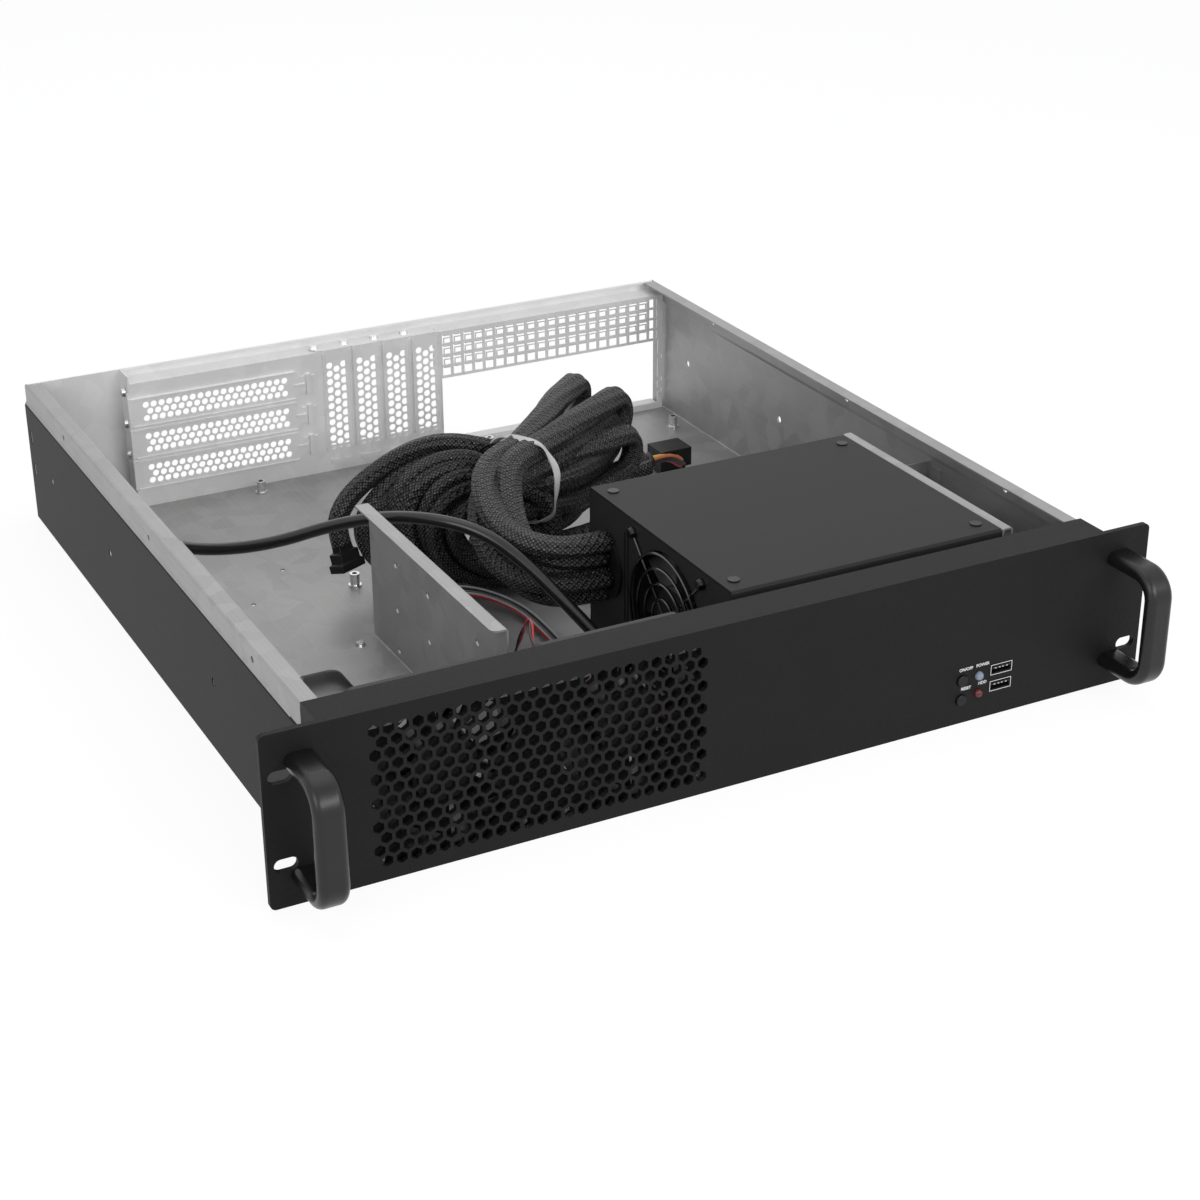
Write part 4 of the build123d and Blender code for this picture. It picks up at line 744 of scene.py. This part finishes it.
def tieRibbon(settings):
    # a flat strip along a superellipse, whose cosine and sine are raised to two over its power; it wobbles
    # sideways by two sine waves and tilts about its line by a third
    turn = np.linspace(0, fullTurn, settings["rows"], endpoint=False)
    bend = 2 / settings["power"]
    c, s = np.cos(turn), np.sin(turn)
    level = np.array(settings["level"]) / np.linalg.norm(settings["level"])
    up = np.array((0.0, 0.0, 1.0))
    across = np.sign(c) * np.abs(c) ** bend * settings["half"][0]
    rise = np.sign(s) * np.abs(s) ** bend * settings["half"][1]
    wave = sum(size * np.sin(turn * times + start) for size, times, start in settings["wobble"])
    middle = np.array(settings["middle"], dtype=float) + np.array((0, frontY, 0))
    normal = np.cross(level, up)
    line = middle + level * across[:, None] + up * rise[:, None] + normal * wave[:, None]
    ahead = np.roll(line, -1, 0) - np.roll(line, 1, 0)
    ahead /= np.linalg.norm(ahead, axis=1)[:, None]
    outward = np.cross(ahead, normal)
    tilt = settings["tilt"] * np.sin(turn * settings["turns"])
    flat = normal * np.cos(tilt)[:, None] + outward * np.sin(tilt)[:, None]
    thick = np.cross(ahead, flat)
    halfWidth, halfThick = settings["width"] / 2, settings["thick"] / 2
    corners = [line + flat * a * halfWidth + thick * b * halfThick for a, b in square]
    vertices = np.stack(corners, 1).reshape(-1, 3) * mm
    rows = settings["rows"]
    i, j = np.meshgrid(np.arange(rows), np.arange(4), indexing="ij")
    k, n = (j + 1) % 4, (i + 1) % rows
    faces = np.stack((i * 4 + j, i * 4 + k, n * 4 + k, n * 4 + j), -1).reshape(-1, 4)
    piece = makePiece("twistedTie", vertices, faces.tolist(), ["clearTie"], smooth=False)
    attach(piece, "case")
    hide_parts("cable_tie")


tieRibbon(tie)
print("tie wound")


# thin wires: several round wires side by side along one route
def wireRun(name, route, wires, twist, replaced):
    # each wire is a circle moved sideways from the route's line, and all of them turn about it by the twist
    # times the length
    points = smoothLine(route, 8)
    ahead, side, up = turningFrame(points)
    along = distanceAlong(points)
    roll = twist * along
    sides = 10
    angle = np.linspace(0, fullTurn, sides, endpoint=False)
    vertices, faces, marks, names = [], [], [], []
    for finish, across, rise, radius in wires:
        sideways = (across * np.cos(roll) - rise * np.sin(roll)) * mm
        upwards = (across * np.sin(roll) + rise * np.cos(roll)) * mm
        line = points + side * sideways[:, None] + up * upwards[:, None]
        ring = (line[:, None, :] + side[:, None, :] * (radius * mm * np.cos(angle))[None, :, None]
                + up[:, None, :] * (radius * mm * np.sin(angle))[None, :, None])
        first = sum(len(part) for part in vertices)
        base = first + (len(line) - 1) * sides
        quads = (tubeQuads(len(line), sides) + first).tolist()
        quads += [[first + a for a in range(sides)], [base + a for a in reversed(range(sides))]]
        if finish not in names:
            names.append(finish)
        marks += [names.index(finish)] * len(quads)
        vertices.append(ring.reshape(-1, 3))
        faces += quads
    piece = makePiece(name, np.vstack(vertices), faces, names, indices=marks)
    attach(piece, "case")
    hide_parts(replaced)


panelRoute = [
    (123, 12.2, 16), (98, 12.2, 16), (60, 17, 21), (26, 20, 23), (4, 32, 21), (-9, 54, 15), (-15, 84, 10),
    (-17, 120, 7), (-16, 156, 5), (-13, 192, 4.5), (-14, 220, 5), (-27, 238, 9), (-48, 234, 17),
    (-66, 218, 21), (-79, 197, 17), (-87, 180, 8), (-88, 169, 5), (-88, 158, 5),
]
# each wire's finish, its place across and up, and its radius, in millimetres
ribbon = [("redWire", -2.6, 0.0, 0.65), ("whiteWire", -1.3, 0.0, 0.65), ("greyWire", 0.0, 0.0, 0.65),
          ("blackWire", 1.3, 0.0, 0.65), ("whiteWire", 2.6, 0.0, 0.65)]
wireRun("panelRibbon", panelRoute, ribbon, 0.5, "panel_leads")
fanRoutes = {
    "fanLead1": [
        (-114, 31.6, 22), (-114, 37, 22), (-110, 42, 17), (-102, 44.5, 10), (-94, 47, 6), (-87, 52, 4),
        (-86, 58, 4), (-86, 64, 4),
    ],
    "fanLead2": [
        (-91, 31.6, 77), (-91, 42, 77), (-84, 56, 83), (-80, 69, 77), (-79, 80, 62), (-80, 89, 43),
        (-80, 95, 24), (-80, 102, 10), (-80, 111, 4), (-80, 120, 4),
    ],
}
fanPair = [("redWire", -0.62, 0.0, 0.6), ("blackWire", 0.62, 0.0, 0.6)]
for number, (leadName, route) in enumerate(fanRoutes.items(), start=1):
    wireRun(leadName, route, fanPair, 160.0, "fan_%d_lead" % number)
driveRoute = [(114.3, 305, 36.7), (126, 309, 36), (139, 318, 30), (150, 330, 21), (158, 341, 14.5),
              (162, 348, 12), (162, 354, 12)]
driveWires = [("yellowWire", -1.5, 1.0, 1.15), ("orangeWire", 1.5, 1.0, 1.15), ("redWire", -1.3, -1.4, 1.15),
              ("blackWire", 1.3, -1.4, 1.15)]
wireRun("driveWires", driveRoute, driveWires, 14.0, "drive_power_lead")
print("thin wires laid")


# round air holes cut through copies of the slot covers
covers = [
    {"nodes": fullCovers, "along": (-1, 0, 0), "across": (0, 0, 1), "start": 20.0, "count": 19, "pitch": 4.95,
     "width": 4.15},
    {"nodes": lowCovers, "along": (0, 0, 1), "across": (1, 0, 0), "start": 14.6, "count": 11, "pitch": 5.4,
     "width": 4.4},
]
airHole = {"rows": 3, "depth": 6.0, "sides": 12, "tongue": 0.5}


def mergedCopy(nodeName):
    # the CAD node's loose triangles as one joined mesh
    mesh = bpy.data.objects[nodeName].data.copy()
    work = bmesh.new()
    work.from_mesh(mesh)
    bmesh.ops.remove_doubles(work, verts=work.verts, dist=1e-6)
    work.to_mesh(mesh)
    work.free()
    return mesh


def holeCutter(centres, radius, reach):
    # one many-sided prism at each centre, standing out along Y by its reach both ways
    sides = airHole["sides"]
    angle = np.linspace(0, fullTurn, sides, endpoint=False)
    ring = np.stack((radius * np.cos(angle), np.zeros(sides), radius * np.sin(angle)), -1)
    both = np.concatenate((ring - (0, reach, 0), ring + (0, reach, 0)))
    vertices = (centres[:, None, :] + both[None]).reshape(-1, 3)
    unit = [(a, (a + 1) % sides, (a + 1) % sides + sides, a + sides) for a in range(sides)]
    unit += [tuple(reversed(range(sides))), tuple(range(sides, 2 * sides))]
    faces = [tuple(index + 2 * sides * n for index in face) for n in range(len(centres)) for face in unit]
    mesh = bpy.data.meshes.new("cutter")
    mesh.from_pydata(vertices.tolist(), [], faces)
    work = bmesh.new()
    work.from_mesh(mesh)
    bmesh.ops.recalc_face_normals(work, faces=work.faces)
    work.to_mesh(mesh)
    work.free()
    cutter = bpy.data.objects.new("cutter", mesh)
    bpy.context.scene.collection.objects.link(cutter)
    return cutter


def perforate(nodeName, settings):
    # rows of holes set like a honeycomb, counted from the tongue's end and centred on the tongue's middle
    mesh = mergedCopy(nodeName)
    place = np.empty(len(mesh.vertices) * 3)
    mesh.vertices.foreach_get("co", place)
    place = place.reshape(-1, 3)
    along, across = np.array(settings["along"], float), np.array(settings["across"], float)
    far = place @ along
    foot = far.min()
    tongue = place[far < foot + airHole["tongue"] * mm]
    middle = (tongue @ across).mean()
    back = (tongue @ np.array((0.0, 1.0, 0.0))).mean()
    pitch = settings["pitch"] * mm
    centres = []
    for row in range(airHole["rows"]):
        odd = row % 2
        sideways = middle + (row - (airHole["rows"] - 1) / 2) * pitch * math.sqrt(3) / 2
        for step in range(settings["count"] - odd):
            reach = foot + settings["start"] * mm + (step + odd / 2) * pitch
            centres.append(along * reach + across * sideways + np.array((0.0, back, 0.0)))
    cutter = holeCutter(np.array(centres), settings["width"] / 2 * mm, airHole["depth"] * mm)
    blank = bpy.data.objects.new(nodeName + "_perforated", mesh)
    bpy.context.scene.collection.objects.link(blank)
    cut = blank.modifiers.new("holes", "BOOLEAN")
    cut.operation = "DIFFERENCE"
    cut.solver = "EXACT"
    cut.object = cutter
    bpy.context.view_layer.update()
    done = bpy.data.meshes.new_from_object(blank.evaluated_get(bpy.context.evaluated_depsgraph_get()))
    blank.modifiers.clear()
    blank.data = done
    bpy.data.objects.remove(cutter)
    done.materials.clear()
    done.materials.append(finishes["zincPaintedLight"])
    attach(blank, "case")
    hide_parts(nodeName)
    return len(done.polygons)


for coverSettings in covers:
    for nodeName in coverSettings["nodes"]:
        print(nodeName, "perforated,", perforate(nodeName, coverSettings), "faces")


# bright mouth and dark tongue of each socket on the front
boxFaces = ((0, 2, 3, 1), (4, 5, 7, 6), (0, 1, 5, 4), (2, 6, 7, 3), (0, 4, 6, 2), (1, 3, 7, 5))


def boxes(name, finish, sides):
    # plain boxes given by two opposite corners in millimetres, the second number back from the front plate
    vertices, faces = [], []
    for low, high in sides:
        first = len(vertices)
        for k in range(8):
            x, back, z = (high[axis] if k >> axis & 1 else low[axis] for axis in range(3))
            vertices.append((x * mm, (back + frontY) * mm, z * mm))
        faces += [tuple(first + k for k in face) for face in boxFaces]
    piece = makePiece(name, vertices, faces, [finish], smooth=False)
    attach(piece, "case")


# depths run back from the plate, heights up from the socket's middle
sockets = {
    "x": 153.0,
    "levels": (26.2, 17.0),
    "half": (6.6, 2.9),
    "wall": 0.32,
    "depth": (-0.35, 1.0),
    "tongue": {"half": 5.7, "depth": (-0.15, 0.9), "height": (0.3, 1.7)},
    "contact": {"half": 0.5, "depth": (-0.22, -0.1), "height": (0.5, 0.9), "places": (-3.5, -1, 1, 3.5)},
}


def cornerPair(x, z, shape):
    # opposite corners of a box centred on x, its heights counted from z
    return tuple((x + sign * shape["half"], shape["depth"][end], z + shape["height"][end])
                 for end, sign in enumerate((-1, 1)))


def socketMouths(settings):
    # four strips round each mouth, a tongue in it and four contacts on the tongue
    x, wall = settings["x"], settings["wall"]
    wide, tall = settings["half"]
    near, deep = settings["depth"]
    rims, tongues, contacts = [], [], []
    for z in settings["levels"]:
        inner = tall - wall
        rims += [((x - wide, near, z - tall), (x + wide, deep, z - inner)),
                 ((x - wide, near, z + inner), (x + wide, deep, z + tall)),
                 ((x - wide, near, z - inner), (x - wide + wall, deep, z + inner)),
                 ((x + wide - wall, near, z - inner), (x + wide, deep, z + inner))]
        tongues.append(cornerPair(x, z, settings["tongue"]))
        contacts += [cornerPair(x + place, z, settings["contact"]) for place in settings["contact"]["places"]]
    boxes("socketRims", "socketRim", rims)
    boxes("socketTongues", "moulding", tongues)
    boxes("socketContacts", "socketRim", contacts)


socketMouths(sockets)


# narrow folded edges inside the square air holes of the rear panel
gridEdges = {
    "centre": (129.575, 64.52),
    "pitch": (7.56, 7.2576),
    "cells": (21, 4),
    "halves": (2.95, 2.45),
    "depth": (479.0, 480.0),
}


def edgeFrames(settings):
    # one square ring per hole, its outer edge a little inside the sheet
    vertices, faces = [], []
    for column in range(settings["cells"][0]):
        for row in range(settings["cells"][1]):
            x = settings["centre"][0] + (column - (settings["cells"][0] - 1) / 2) * settings["pitch"][0]
            z = settings["centre"][1] + (row - (settings["cells"][1] - 1) / 2) * settings["pitch"][1]
            first = len(vertices)
            for back in settings["depth"]:
                for half in settings["halves"]:
                    for across, rise in square:
                        corner = (x + across * half, back + frontY, z + rise * half)
                        vertices.append(tuple(value * mm for value in corner))
            for a in range(4):
                b = (a + 1) % 4
                for one, two in ((0, 4), (4, 12), (12, 8), (8, 0)):
                    faces.append((first + one + a, first + one + b, first + two + b, first + two + a))
    piece = makePiece("gridEdges", vertices, faces, ["zincPaintedLight"], smooth=False)
    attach(piece, "case")


edgeFrames(gridEdges)


# small printed words over the buttons and lamps
labels = {
    "size": 2.3,
    "thicken": 0.09,
    "lift": 0.04,
    "words": {"ON/OFF": (131.2, 30.4), "RESET": (131.8, 19.5), "POWER": (141.4, 30.7), "HDD": (141.9, 20.4)},
}


def printWords(settings):
    # flat letters a hair in front of the plate, each word centred on its place across and up
    upright = Matrix.Rotation(math.pi / 2, 4, "X")
    for word, (x, z) in settings["words"].items():
        text = bpy.data.curves.new(word, "FONT")
        text.body = word
        text.size = settings["size"] * mm
        text.align_x = "CENTER"
        text.align_y = "CENTER"
        text.offset = settings["thicken"] * mm
        holder = bpy.data.objects.new(word, text)
        bpy.context.scene.collection.objects.link(holder)
        mesh = bpy.data.meshes.new_from_object(holder)
        bpy.data.objects.remove(holder)
        place = Vector((x, frontY - settings["lift"], z)) * mm
        mesh.transform(Matrix.Translation(place) @ upright)
        mesh.materials.clear()
        mesh.materials.append(finishes["ink"])
        piece = bpy.data.objects.new("word" + word.replace("/", ""), mesh)
        bpy.context.scene.collection.objects.link(piece)
        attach(piece, "case")


printWords(labels)
print("grid edges and printed words added")
